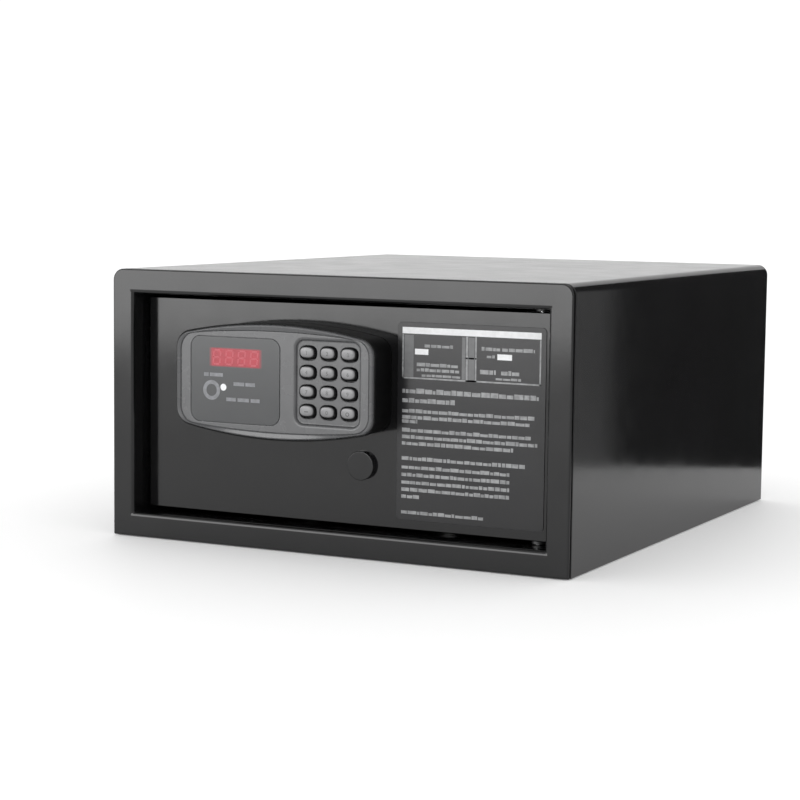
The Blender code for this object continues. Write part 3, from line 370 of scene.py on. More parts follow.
def show(name, bm, finish, crease=35):
    """An object at the origin from a finished bmesh."""
    mesh = bpy.data.meshes.new(name)
    bm.to_mesh(mesh)
    bm.free()
    mesh.shade_smooth()
    mesh.set_sharp_from_angle(angle=math.radians(crease))
    mesh.materials.append(finish)
    made = bpy.data.objects.new(name, mesh)
    SCENE.collection.objects.link(made)
    return made


def stand_in(name, bm, node, crease=35, flat_weight=False):
    """A finer piece shown in place of a CAD node."""
    made = show(name, bm, FINISH[SLOT[node]], crease)
    if flat_weight:
        weigh_normals(made)
    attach(made, BODY[node])
    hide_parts(node)


def laid_on(name, bm, node, finish):
    """A thin mark on a node's surface: print, a legend or a lit segment."""
    made = show(name, bm, finish)
    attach(made, BODY[node])


def weigh_normals(made):
    """Keeps large flat faces flat beside the small faces of a rounded edge."""
    weighted = made.modifiers.new("face_weights", "WEIGHTED_NORMAL")
    weighted.keep_sharp = True
    weighted.weight = 100
    bpy.context.view_layer.update()
    graph = bpy.context.evaluated_depsgraph_get()
    finished = bpy.data.meshes.new_from_object(made.evaluated_get(graph))
    made.modifiers.clear()
    made.data = finished


def outwards(bm):
    """Merges doubled points and turns every face outwards."""
    bmesh.ops.remove_doubles(bm, verts=bm.verts, dist=0.0005 * MM)
    bmesh.ops.recalc_face_normals(bm, faces=bm.faces)
    return bm


def next_section(bm, rim, loop):
    """Extrudes a closed rim of edges and lays the new rim on another loop of as many points."""
    corners = [(set(edge.verts) & set(before.verts)).pop() for edge, before in zip(rim, rim[-1:] + rim[:-1])]
    order = {vert: index for index, vert in enumerate(corners)}
    made = bmesh.ops.extrude_edge_only(bm, edges=rim)["geom"]
    fresh = {item for item in made if isinstance(item, bmesh.types.BMVert)}
    placed = [None] * len(loop)
    for vert in fresh:
        partner = next(e.other_vert(vert) for e in vert.link_edges if e.other_vert(vert) in order)
        placed[order[partner]] = vert
    for vert, point in zip(placed, loop):
        vert.co = point
    return [bm.edges.get(pair) for pair in zip(placed, placed[1:] + placed[:1])]


def sections(loops, ring=False):
    """A closed skin through loops of points, with flat ends or joined into a ring."""
    bm = bmesh.new()
    verts = [bm.verts.new(point) for point in loops[0]]
    first = rim = [bm.edges.new(pair) for pair in zip(verts, verts[1:] + verts[:1])]
    for loop in loops[1:] + (loops[:1] if ring else []):
        rim = next_section(bm, rim, loop)
    if not ring:
        bmesh.ops.edgeloop_fill(bm, edges=first)
        bmesh.ops.edgeloop_fill(bm, edges=rim)
    return outwards(bm)


def turned(profile, centre, axis, steps):
    """A turned solid: (radius, distance along axis) from one pole to the other."""
    bm = bmesh.new()
    verts = [bm.verts.new((radius, 0, height)) for radius, height in profile]
    edges = [bm.edges.new(pair) for pair in zip(verts, verts[1:])]
    bmesh.ops.spin(bm, geom=verts + edges, cent=(0, 0, 0), axis=(0, 0, 1), dvec=(0, 0, 0),
                   angle=math.tau, steps=steps, use_merge=True, use_duplicate=False)
    turn = Vector((0, 0, 1)).rotation_difference(Vector(axis)).to_matrix().to_4x4()
    bmesh.ops.transform(bm, matrix=Matrix.Translation(centre) @ turn, verts=bm.verts)
    return outwards(bm)


def block(low, high):
    """A box between two corners."""
    low, high = Vector(low), Vector(high)
    bm = bmesh.new()
    bmesh.ops.create_cube(bm, size=1)
    bmesh.ops.scale(bm, vec=high - low, verts=bm.verts)
    bmesh.ops.translate(bm, vec=(low + high) / 2, verts=bm.verts)
    return outwards(bm)


def round_edges(bm, edges, radius, segments):
    """Bevels edges to a radius."""
    bmesh.ops.bevel(bm, geom=edges, offset=radius, offset_type="OFFSET", segments=segments,
                    profile=0.5, affect="EDGES", clamp_overlap=True, material=-1)


def cut_away(bm, cutters):
    """Takes closed shapes out of a solid."""
    things = []
    for shape in [bm] + cutters:
        mesh = bpy.data.meshes.new("blank")
        shape.to_mesh(mesh)
        shape.free()
        thing = bpy.data.objects.new("blank", mesh)
        SCENE.collection.objects.link(thing)
        things.append(thing)
    for cutter in things[1:]:
        taking = things[0].modifiers.new("cut", "BOOLEAN")
        taking.operation = "DIFFERENCE"
        taking.solver = "EXACT"
        taking.object = cutter
    bpy.context.view_layer.update()
    whole = bmesh.new()
    whole.from_object(things[0], bpy.context.evaluated_depsgraph_get())
    for thing in things:
        bpy.data.meshes.remove(thing.data)
    return whole


def eased(node, radius, segments=2, angle=40):
    """A CAD node's shape with its triangles merged, its flat faces whole and its edges rounded."""
    bm = bmesh.new()
    bm.from_mesh(frame["nodes"][node].data)
    bmesh.ops.remove_doubles(bm, verts=bm.verts, dist=0.002 * MM)
    bmesh.ops.dissolve_limit(bm, angle_limit=math.radians(0.6), verts=bm.verts, edges=bm.edges)
    sharp = [e for e in bm.edges if e.is_manifold and e.calc_face_angle(0) > math.radians(angle)]
    round_edges(bm, sharp, radius, segments)
    stand_in(f"{node}_eased", bm, node, crease=40, flat_weight=True)


# ---------------------------------------------------------------- outlines

def arc(centre, radius, start, end, steps):
    """Points on an arc from one angle to another, both in degrees."""
    turns = [math.radians(start + (end - start) * i / steps) for i in range(steps + 1)]
    return [(centre[0] + radius * math.cos(t), centre[1] + radius * math.sin(t)) for t in turns]


def rounded(x, z, radii, steps=8):
    """A rectangle's outline, anticlockwise from the lower right; radii start there too."""
    corners = ((x[1], z[0], -90), (x[1], z[1], 0), (x[0], z[1], 90), (x[0], z[0], 180))
    points = []
    for (cx, cz, start), radius in zip(corners, radii):
        inward_x = radius if cx == x[0] else -radius
        inward_z = radius if cz == z[0] else -radius
        points += arc((cx + inward_x, cz + inward_z), radius, start, start + 90, steps)
    return points


def oval(half, steps=56):
    """A key's outline, between an ellipse and a rectangle."""
    points = []
    for i in range(steps):
        c, s = math.cos(math.tau * i / steps), math.sin(math.tau * i / steps)
        wide, tall = (math.copysign(abs(value) ** 0.75, value) for value in (c, s))
        points.append((half[0] * wide, half[1] * tall))
    return points


def arched(half, rise, arch, corner, inset=0.0, arch_steps=40, corner_steps=12):
    """Upright sides, arched top and bottom, rounded corners."""
    half, rise, arch, corner = half - inset, rise - inset, arch - inset, corner - inset
    crown = rise - arch
    fillet_x = half - corner
    fillet_z = crown + math.sqrt((arch - corner) ** 2 - fillet_x ** 2)
    lean = math.degrees(math.atan2(fillet_z - crown, fillet_x))
    right_top = arc((fillet_x, fillet_z), corner, 0, lean, corner_steps)
    top = arc((0, crown), arch, lean, 180 - lean, arch_steps)[1:-1]
    upper = right_top + top + [(-px, pz) for px, pz in reversed(right_top)]
    return upper + [(-px, -pz) for px, pz in upper]


def at(outline, y, centre=(0, 0)):
    """An outline in the XZ plane, put at one y."""
    return [(centre[0] + px, y, centre[1] + pz) for px, pz in outline]


def quarter_turn(steps):
    """Angles from nothing to a quarter turn."""
    return [math.pi / 2 * i / steps for i in range(steps + 1)]


def quarter(across, deep, steps):
    """(inset, depth) pairs of a quarter ellipse from a side wall to the front."""
    return [(across * (1 - math.cos(t)), deep * (1 - math.sin(t))) for t in quarter_turn(steps)]


# ---------------------------------------------------------------- cabinet

SAFE_LOW, SAFE_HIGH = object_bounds()
LEFT, RIGHT, TOP, BACK = SAFE_LOW.x, SAFE_HIGH.x, SAFE_HIGH.z, SAFE_HIGH.y
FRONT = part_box("front_frame")[0].y
DOOR_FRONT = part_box("door_plate")[0].y
SHEET = 2 * MM
RAIL = 18 * MM
JAMB = 50 * MM
LAP = 14 * MM
CORNER = 8.5 * MM
BOLT_HOLE = 8.8 * MM
PIN_HOLE = 2.9 * MM
HOLE_CUT = 10 * MM


def middle(node):
    """The centre of a node's box."""
    node_low, node_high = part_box(node)
    return (node_low + node_high) / 2


def round_cutter(start, axis, radius):
    """A rod that cuts a round hole through a sheet."""
    return turned([(0, 0), (radius, 0), (radius, HOLE_CUT), (0, HOLE_CUT)], start, axis, 48)


def make_body_sheet():
    """Top and sides bent from one sheet."""
    start_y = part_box("body_wrap")[0].y
    path = [(LEFT, 0)] + arc((LEFT + CORNER, TOP - CORNER), CORNER, 180, 90, 14)
    path += arc((RIGHT - CORNER, TOP - CORNER), CORNER, 90, 0, 14) + [(RIGHT, 0)]
    bm = bmesh.new()
    verts = [bm.verts.new((px, start_y, pz)) for px, pz in path]
    edges = [bm.edges.new(pair) for pair in zip(verts, verts[1:])]
    made = bmesh.ops.extrude_edge_only(bm, edges=edges)["geom"]
    far_side = [item for item in made if isinstance(item, bmesh.types.BMVert)]
    bmesh.ops.translate(bm, vec=(0, BACK - start_y, 0), verts=far_side)
    for face in bm.faces:
        face.normal_update()
    if max(bm.faces, key=lambda f: f.calc_center_median().z).normal.z < 0:
        bmesh.ops.reverse_faces(bm, faces=bm.faces)
    bmesh.ops.solidify(bm, geom=bm.faces[:], thickness=SHEET)
    ends = [e for e in bm.edges if e.calc_face_angle(0) > math.radians(60)]
    round_edges(bm, ends, 0.6 * MM, 3)
    stand_in("body_sheet", bm, "body_wrap", flat_weight=True)


def cabinet_loop(inset, y):
    """The cabinet's outline from the front, drawn in by `inset`."""
    foot, top = 0.8 * MM, max(CORNER - inset, 1 * MM)
    outline = rounded((LEFT + inset, RIGHT - inset), (inset, TOP - inset), (foot, top, top, foot))
    return at(outline, y)


def make_face_frame():
    """Face rails, jambs bent back round the door opening, and the lap inside the body."""
    lap_out, lap_in = SHEET + 0.4 * MM, SHEET + 2.2 * MM
    nose, bend, chamfer = 1.5 * MM, 3 * MM, 0.4 * MM
    profile = [(lap_out, SHEET), (0.2 * MM, SHEET)] + quarter(nose, nose, 6)
    profile += [(RAIL - bend + bend * math.sin(t), bend * (1 - math.cos(t))) for t in quarter_turn(8)]
    profile += [(RAIL, JAMB - chamfer), (RAIL - chamfer, JAMB), (RAIL - SHEET, JAMB), (RAIL - SHEET, bend),
                (RAIL - bend, SHEET), (lap_in, SHEET), (lap_in, LAP), (lap_out, LAP)]
    bm = sections([cabinet_loop(inset, FRONT + depth) for inset, depth in profile], ring=True)
    cutters = []
    for name in ("lower", "upper"):
        bolt = middle(f"live_bolt_{name}")
        start = (LEFT + RAIL - HOLE_CUT / 2, bolt.y, bolt.z)
        cutters.append(round_cutter(start, (1, 0, 0), BOLT_HOLE))
    for name, level in (("top", TOP - RAIL), ("bottom", RAIL)):
        pin = middle(f"hinge_pin_{name}")
        cutters.append(round_cutter((pin.x, pin.y, level - HOLE_CUT / 2), (0, 0, 1), PIN_HOLE))
    stand_in("face_frame", cut_away(bm, cutters), "front_frame", flat_weight=True)


# ---------------------------------------------------------------- panel

PANEL_LOW, PANEL_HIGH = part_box("panel_bezel")
PANEL_FRONT = PANEL_LOW.y
PANEL = ((PANEL_LOW.x + PANEL_HIGH.x) / 2, (PANEL_LOW.z + PANEL_HIGH.z) / 2)
PANEL_HALF = ((PANEL_HIGH.x - PANEL_LOW.x) / 2, (PANEL_HIGH.z - PANEL_LOW.z) / 2)
PANEL_ARCH, PANEL_CORNER = 353 * MM, 13 * MM
BEZEL_DEPTH = 5.5 * MM
FIELD = 1.2 * MM
FIELD_HALF = (77 * MM, 36 * MM)
FIELD_ARCH, FIELD_CORNER = 700 * MM, 12 * MM
TRIM = 1 * MM
WELL_HALF = (25.5 * MM, 30 * MM)
WELL_FLOOR = 3.6 * MM
THROUGH = 5 * MM
KEYS = [f"key_{name}" for name in (*"123456789", "clear", "0", "lock")]
KEY_HALF = (6.6 * MM, 4.9 * MM)
KEY_LEAN = (0.2 * MM, -0.5 * MM)
KEY_FACE = 1 * MM
LENS_LOW, LENS_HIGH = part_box("display_lens")
LENS_CORNER = 7.5 * MM


def panel_loop(inset, depth):
    """The panel's own outline, drawn in by `inset`."""
    return at(arched(*PANEL_HALF, PANEL_ARCH, PANEL_CORNER, inset), PANEL_FRONT + depth, PANEL)


def field_loop(grow, depth):
    """The outline of the flat field inside the lips."""
    return at(arched(*FIELD_HALF, FIELD_ARCH, FIELD_CORNER, -grow), PANEL_FRONT + depth, PANEL)


def pocket(x, z, radius, edge, depth, foot=0.0):
    """A cutter for a pocket with a rounded mouth and, with a foot, a rounded floor."""
    steps = [(edge, FIELD - THROUGH)]
    steps += [(edge * (1 - math.sin(t)), FIELD + edge * (1 - math.cos(t))) for t in quarter_turn(5)]
    if foot:
        steps += [(-foot * (1 - math.cos(t)), depth - foot * (1 - math.sin(t))) for t in quarter_turn(5)]
    else:
        steps.append((0, depth))
    loops = []
    for grow, level in steps:
        outline = rounded((x[0] - grow, x[1] + grow), (z[0] - grow, z[1] + grow), [radius + grow] * 4, 10)
        loops.append(at(outline, PANEL_FRONT + level))
    return sections(loops)


def key_loop(grow, depth, centre):
    """A key's outline, grown by `grow`, at a depth behind the panel's front; both in millimetres."""
    outline = oval((KEY_HALF[0] + grow * MM, KEY_HALF[1] + grow * MM))
    return at(outline, PANEL_FRONT + depth * MM, centre)


def lens_pocket():
    """The shallow pocket that the display plate lies in."""
    gap, depth = 0.3 * MM, 2.2 * MM
    wide, tall = (LENS_LOW.x - gap, LENS_HIGH.x + gap), (LENS_LOW.z - gap, LENS_HIGH.z + gap)
    return pocket(wide, tall, 8 * MM, 0.5 * MM, depth)


def display_window():
    """The opening behind the plate that the display stands in."""
    low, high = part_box("display_module")
    gap, back = 1 * MM, 9 * MM
    return block((low.x - gap, PANEL_FRONT - THROUGH, low.z - gap),
                 (high.x + gap, PANEL_FRONT + back, high.z + gap))


def keypad_well():
    """The sunk field round the keys, with its middle between the second and third rows."""
    centre = middle("key_5")
    row = middle("key_2").z - centre.z
    pad_x, pad_z = centre.x, centre.z - row / 2
    wide, tall = (pad_x - WELL_HALF[0], pad_x + WELL_HALF[0]), (pad_z - WELL_HALF[1], pad_z + WELL_HALF[1])
    return pocket(wide, tall, 6 * MM, 2.2 * MM, WELL_FLOOR, 0.9 * MM)


def key_hole(name):
    """The hole that a key moves in, with an eased mouth in the well's floor."""
    place = middle(name)
    play = ((0.8, 3.1), (0.8, 3.6), (0.45, 3.85), (0.35, 4.2), (0.35, 9))
    return sections([key_loop(grow, depth, (place.x, place.z)) for grow, depth in play])


def make_bezel():
    """The front shell: dished arched lips, a groove round the field, a lens pocket and a keypad well."""
    land, back, lip = 3.3 * MM, 7.5 * MM, (1.3 * MM, 2.8 * MM)
    groove = ((0.95, 0.8), (0.8, 0.95), (0.65, 1.6), (0.45, 1.75), (0.25, 1.65), (0.05, 1.35), (-0.3, 1.2))
    loops = [panel_loop(land, back), panel_loop(land, BEZEL_DEPTH), panel_loop(TRIM, BEZEL_DEPTH)]
    loops += [panel_loop(TRIM + inset, depth) for inset, depth in quarter(*lip, 6)]
    loops += [field_loop(grow * MM, depth * MM) for grow, depth in groove]
    cutters = [lens_pocket(), display_window(), keypad_well()] + [key_hole(name) for name in KEYS]
    shell = cut_away(sections(loops), cutters)
    stand_in("bezel_moulding", shell, "panel_bezel", crease=32, flat_weight=True)


def make_housing():
    """The deep back shell of the panel, slightly drafted, with a lip round the bezel's edge."""
    rim, floor = (corner.y - PANEL_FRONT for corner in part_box("panel_housing"))
    wall, inner, lip, lead_hole = 2.6 * MM, TRIM - 0.1 * MM, 2 * MM, 6 * MM
    loops = [panel_loop(inset, depth) for inset, depth in
             ((wall, floor - 2 * MM), (wall, rim), (inner, rim), (inner, lip + 0.2 * MM),
              (inner - 0.2 * MM, lip), (0.3 * MM, lip), (0, lip + 0.4 * MM), (0, rim),
              (0.6 * MM, rim + 0.3 * MM), (0.6 * MM, floor - 0.4 * MM), (1 * MM, floor))]
    hole = round_cutter((PANEL[0], PANEL_FRONT + floor - HOLE_CUT / 2, PANEL[1]), (0, 1, 0), lead_hole)
    stand_in("housing_moulding", cut_away(sections(loops), [hole]), "panel_housing", flat_weight=True)


def make_lens():
    """The smoked display plate, with eased edges and its front at the field's level."""
    loops = []
    for shrink, y in ((0, LENS_HIGH.y), (0, LENS_LOW.y + 0.3 * MM), (0.1 * MM, LENS_LOW.y + 0.08 * MM),
                      (0.35 * MM, LENS_LOW.y)):
        wide, tall = (LENS_LOW.x + shrink, LENS_HIGH.x - shrink), (LENS_LOW.z + shrink, LENS_HIGH.z - shrink)
        outline = rounded(wide, tall, [LENS_CORNER - shrink] * 4, 12)
        loops.append(at(outline, y))
    stand_in("lens_plate", sections(loops), "display_lens", flat_weight=True)


PRINT_THICK = 0.03 * MM
PRINT_LIFT = 0.005 * MM


def add_bar(bm, x, z, y, lean=0.0):
    """A flat bar of print between two x and two z, leaning to the right by `lean` over its height."""
    made = bmesh.ops.create_cube(bm, size=1)["verts"]
    bmesh.ops.scale(bm, vec=(x[1] - x[0], PRINT_THICK, z[1] - z[0]), verts=made)
    bmesh.ops.translate(bm, vec=((x[0] + x[1]) / 2, y - PRINT_THICK / 2, (z[0] + z[1]) / 2), verts=made)
    if lean:
        centre = (z[0] + z[1]) / 2
        for vert in made:
            vert.co.x += lean * (vert.co.z - centre) / (z[1] - z[0])


def add_ring(bm, centre, outer, inner, y, steps=40):
    """A flat printed ring, or a dot when its inner radius is next to nothing."""
    profile = [(inner, 0), (outer, 0), (outer, PRINT_THICK), (inner, PRINT_THICK)]
    verts = [bm.verts.new((centre[0] + radius, y - depth, centre[1])) for radius, depth in profile]
    edges = [bm.edges.new(pair) for pair in zip(verts, verts[1:] + verts[:1])]
    bmesh.ops.spin(bm, geom=verts + edges, cent=(centre[0], y, centre[1]), axis=(0, 1, 0), dvec=(0, 0, 0),
                   angle=math.tau, steps=steps, use_merge=True, use_duplicate=False)


def make_lens_marks():
    """Plain generic marks under the display: a ring, a dot and dashes."""
    left, base, y = LENS_LOW.x, LENS_LOW.z, LENS_LOW.y - 2 * PRINT_LIFT
    dash_tall = 2.6 * MM
    dashes = ((11, 15, 33), (16, 27, 33), (36, 45, 27), (46, 54, 27), (30, 38, 15.6), (39.5, 49, 15.6),
              (50.5, 58, 15.6))
    bm = bmesh.new()
    add_ring(bm, (left + 17.5 * MM, base + 23 * MM), 7.2 * MM, 4.4 * MM, y)
    for start, end, height in dashes:
        foot = base + height * MM
        add_bar(bm, (left + start * MM, left + end * MM), (foot, foot + dash_tall), y)
    laid_on("lens_marks", outwards(bm), "display_lens", SOFT_INK)
    bm = bmesh.new()
    add_ring(bm, (left + 27.5 * MM, base + 25.5 * MM), 2.5 * MM, 0.01 * MM, y)
    laid_on("lens_dot", outwards(bm), "display_lens", BRIGHT_INK)


def make_digits():
    """Four seven-segment figures glowing in the display."""
    low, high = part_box("display_module")
    y = LENS_LOW.y - 0.012 * MM
    bm = bmesh.new()
    tall, wide, thick, lean = 10 * MM, 5.6 * MM, 1.15 * MM, 0.9 * MM
    notch = thick * 0.6
    pitch = (high.x - low.x) / 4
    base = (low.z + high.z) / 2 - tall / 2
    for i in range(4):
        x = low.x + pitch * (i + 0.5) - wide / 2
        for height in (0, tall / 2, tall):
            shift = lean * (height - tall / 2) / tall
            add_bar(bm, (x + notch + shift, x + wide - notch + shift),
                    (base + height - thick / 2, base + height + thick / 2), y)
        for side in (0, wide):
            for start in (0, tall / 2):
                shift = lean * (start + tall / 4 - tall / 2) / tall
                add_bar(bm, (x + side - thick / 2 + shift, x + side + thick / 2 + shift),
                        (base + start + notch, base + start + tall / 2 - notch), y, lean * 0.4)
    laid_on("display_figures", outwards(bm), "display_module", SEGMENT_LIGHT)


def make_keys():
    """Domed keys that lean a little, on a flange behind the bezel, each with its printed mark."""
    dome = ((0.75, 8.9), (0.75, 7.8), (0, 7.8), (-0.05, 6), (-0.35, 4.4), (-0.75, 3.1), (-1.05, 2.3),
            (-1.35, 1.75), (-1.7, 1.4), (-2.1, 1.17), (-2.6, 1.05), (-3.3, 1.0))
    for name in KEYS:
        place = middle(name)
        loops = [key_loop(grow, depth, (place.x + KEY_LEAN[0] * min(grow, 0),
                                        place.z + KEY_LEAN[1] * min(grow, 0))) for grow, depth in dome]
        stand_in(f"{name}_cap", sections(loops), name, crease=50)
        laid_on(f"{name}_legend", outwards(key_mark(name, place)), name, KEY_INK)


def key_mark(name, place):
    """A bar on the clear key, a ring on the lock key and a figure on every other."""
    mark = name.removeprefix("key_")
    top = PANEL_FRONT + KEY_FACE - PRINT_LIFT
    if mark.isdigit():
        return figure(mark, 4 * MM, (place.x, top, place.z))
    bm = bmesh.new()
    if mark == "clear":
        across, thick = 1.6 * MM, 0.35 * MM
        add_bar(bm, (place.x - across, place.x + across), (place.z - thick, place.z + thick), top)
    else:
        add_ring(bm, (place.x, place.z), 1.5 * MM, 0.95 * MM, top)
    return bm


def figure(digit, size, centre):
    """A digit as a thin solid facing -Y."""
    text = bpy.data.curves.new("figure", "FONT")
    text.body = digit
    text.size = size
    text.align_x, text.align_y = "CENTER", "CENTER"
    text.extrude = PRINT_THICK / 2
    text.resolution_u = 4
    holder = bpy.data.objects.new("figure", text)
    SCENE.collection.objects.link(holder)
    bpy.context.view_layer.update()
    flat = bpy.data.meshes.new_from_object(holder.evaluated_get(bpy.context.evaluated_depsgraph_get()))
    bm = bmesh.new()
    bm.from_mesh(flat)
    bpy.data.meshes.remove(flat)
    bpy.data.curves.remove(text)
    stand_up = Matrix.Rotation(math.pi / 2, 4, "X")
    bmesh.ops.transform(bm, matrix=Matrix.Translation(centre) @ stand_up, verts=bm.verts)
    return bm


# ---------------------------------------------------------------- door

def make_door_leaf():
    """The door keeps its flanged shape, with a single small chamfer on its edges."""
    eased("door_plate", 0.25 * MM, 1, 50)


def make_cap():
    """The round cap over the emergency keyway: a hollow plug with a rolled edge and a low crown."""
    place = middle("override_cap")
    centre = Vector((place.x, DOOR_FRONT, place.z))
    lip, skirt, inner, proud = 10.5 * MM, 9.4 * MM, 8 * MM, 4.2 * MM
    roof, depth, gap, edge = -1.6 * MM, 3.6 * MM, -0.3 * MM, 0.6 * MM
    crown = ((0.75, 0.02), (0.5, 0.04), (0.25, 0.05), (0, 0.06))
    profile = [(0, roof), (inner, roof), (inner, depth), (skirt, depth), (skirt, gap), (lip, gap)]
    profile += [(lip - inset, -proud + drop) for inset, drop in quarter(edge, edge, 6)]
    profile += [(share * lip, -proud - rise * MM) for share, rise in crown]
    cap = turned(profile, centre, (0, 1, 0), 96)
    stand_in("keyway_cap", cap, "override_cap", crease=40, flat_weight=True)


# Places on the label in millimetres from its lower left corner. A row is (start, end, foot, height).
LABEL_SIDES = (3.6, 109.8)
RULE = 1.1
TABLE_FOOT, TABLE_MIDDLE, TABLE_HEAD = 100.7, 116.5, 132.2
TABLE_UPRIGHTS = ((53, 54.6), (60, 61.2))
TABLE_TINTS = ((5.2, 12.5), (50, 52.6), (55, 59.6))
HEADER_BARS = ((LABEL_SIDES, (132.5, 137)), ((13.5, 24), (118, 122)), ((77, 88), (117, 121)))
TABLE_WORDS = ((21, 43, 123.2, 2.4), (65, 79, 123, 2.6), (80.5, 105, 123, 2.6), (69, 75, 118, 2.2),
               (15, 47, 109.8, 2.6), (15, 48, 106.2, 2.6), (19, 49, 102.6, 2), (64, 76, 106.6, 3.2),
               (80, 94, 106.6, 3.2), (76, 95, 103, 1.8))
HEADING_WORDS = ((4, 108.5, 90.4, 3.6), (4, 45, 83.8, 3.6))
PARAGRAPH_LINES = ((105.5, 78), (102, 73.5), (16, 70.6), (103, 64.3), (108, 59.6), (90, 55), (99, 44.2),
                   (87.5, 38), (87.5, 32.6), (87.5, 27.2), (87.5, 22), (18, 17))
FOOTNOTE = (4, 68, 4.4, 2.6)


def label_bar(bm, x, z):
    """A bar of print between places on the label."""
    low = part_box("instruction_label")[0]
    add_bar(bm, [low.x + place * MM for place in x], [low.z + place * MM for place in z],
            low.y - PRINT_LIFT)


def make_label():
    """A thin film with printed bars standing for its heading, table and lines."""
    low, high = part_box("instruction_label")
    film = [at(rounded((low.x + s, high.x - s), (low.z + s, high.z - s), [3 * MM - s] * 4), y)
            for s, y in ((0, high.y), (0, low.y + 0.08 * MM), (0.08 * MM, low.y))]
    stand_in("label_sheet", sections(film), "instruction_label", flat_weight=True)
    header, tint, lines = bmesh.new(), bmesh.new(), bmesh.new()
    for x, z in HEADER_BARS:
        label_bar(header, x, z)
    for x in TABLE_TINTS:
        label_bar(tint, x, (TABLE_FOOT + 1.3, TABLE_HEAD - 0.6))
    left, right = LABEL_SIDES
    for x in ((left, left + RULE), (right - RULE, right), *TABLE_UPRIGHTS):
        label_bar(lines, x, (TABLE_FOOT, TABLE_HEAD))
    for foot in (TABLE_FOOT, TABLE_MIDDLE):
        label_bar(lines, (TABLE_UPRIGHTS[0][0], TABLE_UPRIGHTS[0][0] + 8), (foot, foot + RULE))
    label_bar(lines, LABEL_SIDES, (TABLE_FOOT, TABLE_FOOT + RULE))
    dashes = random.Random(11)
    paragraphs = [(4, end, centre - 1.4, 2.8) for end, centre in PARAGRAPH_LINES]
    for start, end, foot, tall in (*TABLE_WORDS, *HEADING_WORDS, *paragraphs, FOOTNOTE):
        x = start
        while x < end - 0.6:
            length = min(dashes.uniform(2, 7), end - x)
            top = foot + tall * dashes.uniform(0.7, 1)
            label_bar(lines, (x, x + length), (foot, top))
            x += length + dashes.uniform(0.4, 0.7)
    for name, bm, finish in (("heading", header, BRIGHT_INK), ("tint", tint, TINT_INK),
                             ("lines", lines, PALE_INK)):
        laid_on(f"label_{name}", outwards(bm), "instruction_label", finish)


# ---------------------------------------------------------------- the rest of the nodes

CELL_EDGE = 0.2
SCREW_EDGE = 0.15
# Radius in millimetres on the edges of each node that keeps its plain shape.
EASED = {
    "back_panel": 0.3, "base_plate": 0.3, "inner_cover": 0.3, "battery_lid": 0.35, "battery_box": 0.3,
    "live_bolt_lower": 0.4, "live_bolt_upper": 0.4, "bolt_carrier": 0.3, "bolt_guide": 0.4,
    "hinge_bracket_top": 0.5, "hinge_bracket_bottom": 0.5, "gearmotor": 0.3, "motor_bracket": 0.3,
    "hinge_pin_top": 0.3, "hinge_pin_bottom": 0.3, "hinge_washer_top": 0.2, "hinge_washer_bottom": 0.2,
    "override_cylinder": 0.2, "cylinder_nut": 0.5, "cylinder_core": 0.2, "override_cam": 0.3,
    "circuit_board": 0.15, "keypad_mat": 0.15, "floor_mat": 0.5, "motor_shaft": 0.2,
    "display_module": 0.3, "gear_rack": 0.12, "drive_pinion": 0.1,
}


def make_eased_parts():
    """The pieces that keep their plain shape and only get rounded edges."""
    for node, edge in EASED.items():
        eased(node, edge * MM)
    for i in range(4):
        eased(f"battery_cell_{i + 1}", CELL_EDGE * MM)
        eased(f"cover_screw_{i + 1}", SCREW_EDGE * MM)
    for side in ("left", "right"):
        eased(f"panel_screw_{side}", SCREW_EDGE * MM)


def coat_nodes():
    """Every CAD node takes its slot's finish, for the ones that no finer piece stands in for."""
    for name, node in frame["nodes"].items():
        for holder in node.material_slots:
            holder.link = "OBJECT"
            holder.material = FINISH[SLOT[name]]


# ---------------------------------------------------------------- studio

def turn_towards(thing, target):
    """Points the -Z side of a lamp, the lit one, at a place."""
    direction = Vector(target) - thing.location
    thing.rotation_euler = direction.to_track_quat("-Z", "Y").to_euler()


def studio_plane(name, size, place, colour, roughness=0.6, glow=0.0):
    """A flat sheet of the studio; `glow` makes it a light table."""
    made, tree, shader = new_finish(name, roughness, Emission_Color=(1, 1, 1, 1), Emission_Strength=glow)
    tree.links.new(mixed(tree, cloud(tree, 0.2, 3), colour, tuple(c * 0.985 for c in colour)),
                   shader.inputs["Base Color"])
    bm = bmesh.new()
    bmesh.ops.create_grid(bm, x_segments=1, y_segments=1, size=0.5)
    bmesh.ops.scale(bm, vec=(*size, 1), verts=bm.verts)
    plane = show(name, bm, made)
    plane.location = place
    return plane


def reflected_card(name, size, place, facing, colour=(0.01, 0.01, 0.01)):
    """A card that only reflections see."""
    card = studio_plane(name, size, place, colour, 0.9)
    turn_towards(card, facing)
    card.visible_camera = card.visible_diffuse = card.visible_shadow = False
    card.visible_transmission = card.visible_volume_scatter = False


def softbox(name, size, place, target, watts):
    """A rectangular lamp seen only in reflections of glossy pieces."""
    light = bpy.data.lights.new(name, "AREA")
    light.shape = "RECTANGLE"
    light.size, light.size_y = size
    light.energy = watts
    lamp = bpy.data.objects.new(name, light)
    SCENE.collection.objects.link(lamp)
    lamp.location = place
    turn_towards(lamp, target)
    lamp.visible_camera = lamp.visible_diffuse = False


def make_surround(strength):
    """White light from all round."""
    world = bpy.data.worlds.new("white_studio")
    SCENE.world = world
    world.use_nodes = True
    world.node_tree.nodes["Background"].inputs["Color"].default_value = (1, 1, 1, 1)
    world.node_tree.nodes["Background"].inputs["Strength"].default_value = strength


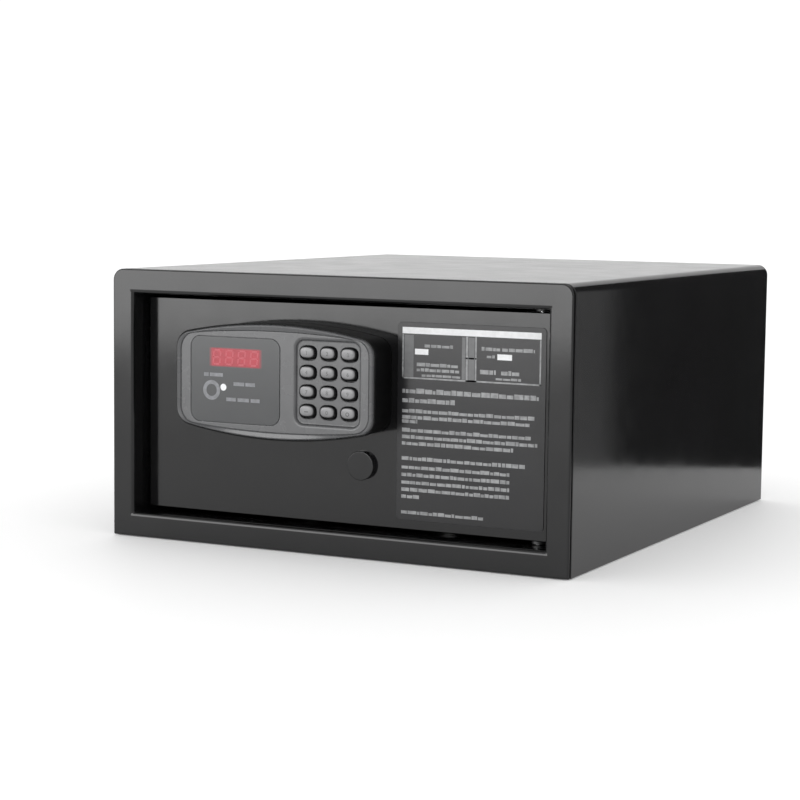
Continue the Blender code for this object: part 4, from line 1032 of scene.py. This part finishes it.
def make_studio():
    """A light table, a white surround, a softbox in front and cards at the right and the back."""
    studio_plane("pale_floor", (60, 60), (0, 0, -0.0005), (0.95, 0.95, 0.95), glow=0.1)
    make_surround(1.08)
    tall = 1.6
    softbox("front_softbox", (2.4, tall), (-0.86, -2.01, tall / 2), (0.148, -0.033, tall / 2), 60)
    card_wide, card_tall = 0.9, 0.5
    start, along = Vector((0.21, 0.426, card_tall / 2)), Vector((0.891, -0.454, 0))
    centre = start + along * card_wide / 2
    facing = Vector((0.454, 0.891, 0))
    reflected_card("side_card", (card_wide, card_tall), centre, centre - facing)
    strip = start + along * 0.235 - facing * 0.01
    reflected_card("side_strip", (0.1, card_tall), strip, strip - facing, (0.3, 0.3, 0.3))
    reflected_card("back_card", (4, tall), (-1.6, 3, tall / 2), (-1.6, 0, tall / 2), (0.72, 0.72, 0.72))


def make_camera():
    """Long lens, to the right of the front and just above it, rolled a little."""
    azimuth, elevation, roll = (math.radians(turn) for turn in (26.9338, 5.8643, 0.6542))
    distance = 1.4736
    target = Vector((0.056, -0.215, 0.1151))
    back = Vector((math.sin(azimuth) * math.cos(elevation), -math.cos(azimuth) * math.cos(elevation),
                   math.sin(elevation)))
    right = Vector((math.cos(azimuth), math.sin(azimuth), 0))
    up = back.cross(right)
    rolled_right = math.cos(roll) * right + math.sin(roll) * up
    rolled_up = math.cos(roll) * up - math.sin(roll) * right
    lens = bpy.data.cameras.new("camera")
    lens.lens, lens.sensor_width = 95.14, 36
    camera = bpy.data.objects.new("camera", lens)
    SCENE.collection.objects.link(camera)
    camera.matrix_world = Matrix.Translation(target + back * distance) @ Matrix(
        (rolled_right, rolled_up, back)).transposed().to_4x4()
    SCENE.camera = camera


make_body_sheet()
make_face_frame()
make_bezel()
make_housing()
make_lens()
make_lens_marks()
make_digits()
make_keys()
make_door_leaf()
make_cap()
make_label()
make_eased_parts()
coat_nodes()
make_studio()
make_camera()
SCENE.view_settings.view_transform = "Standard"
SCENE.view_settings.look = "None"
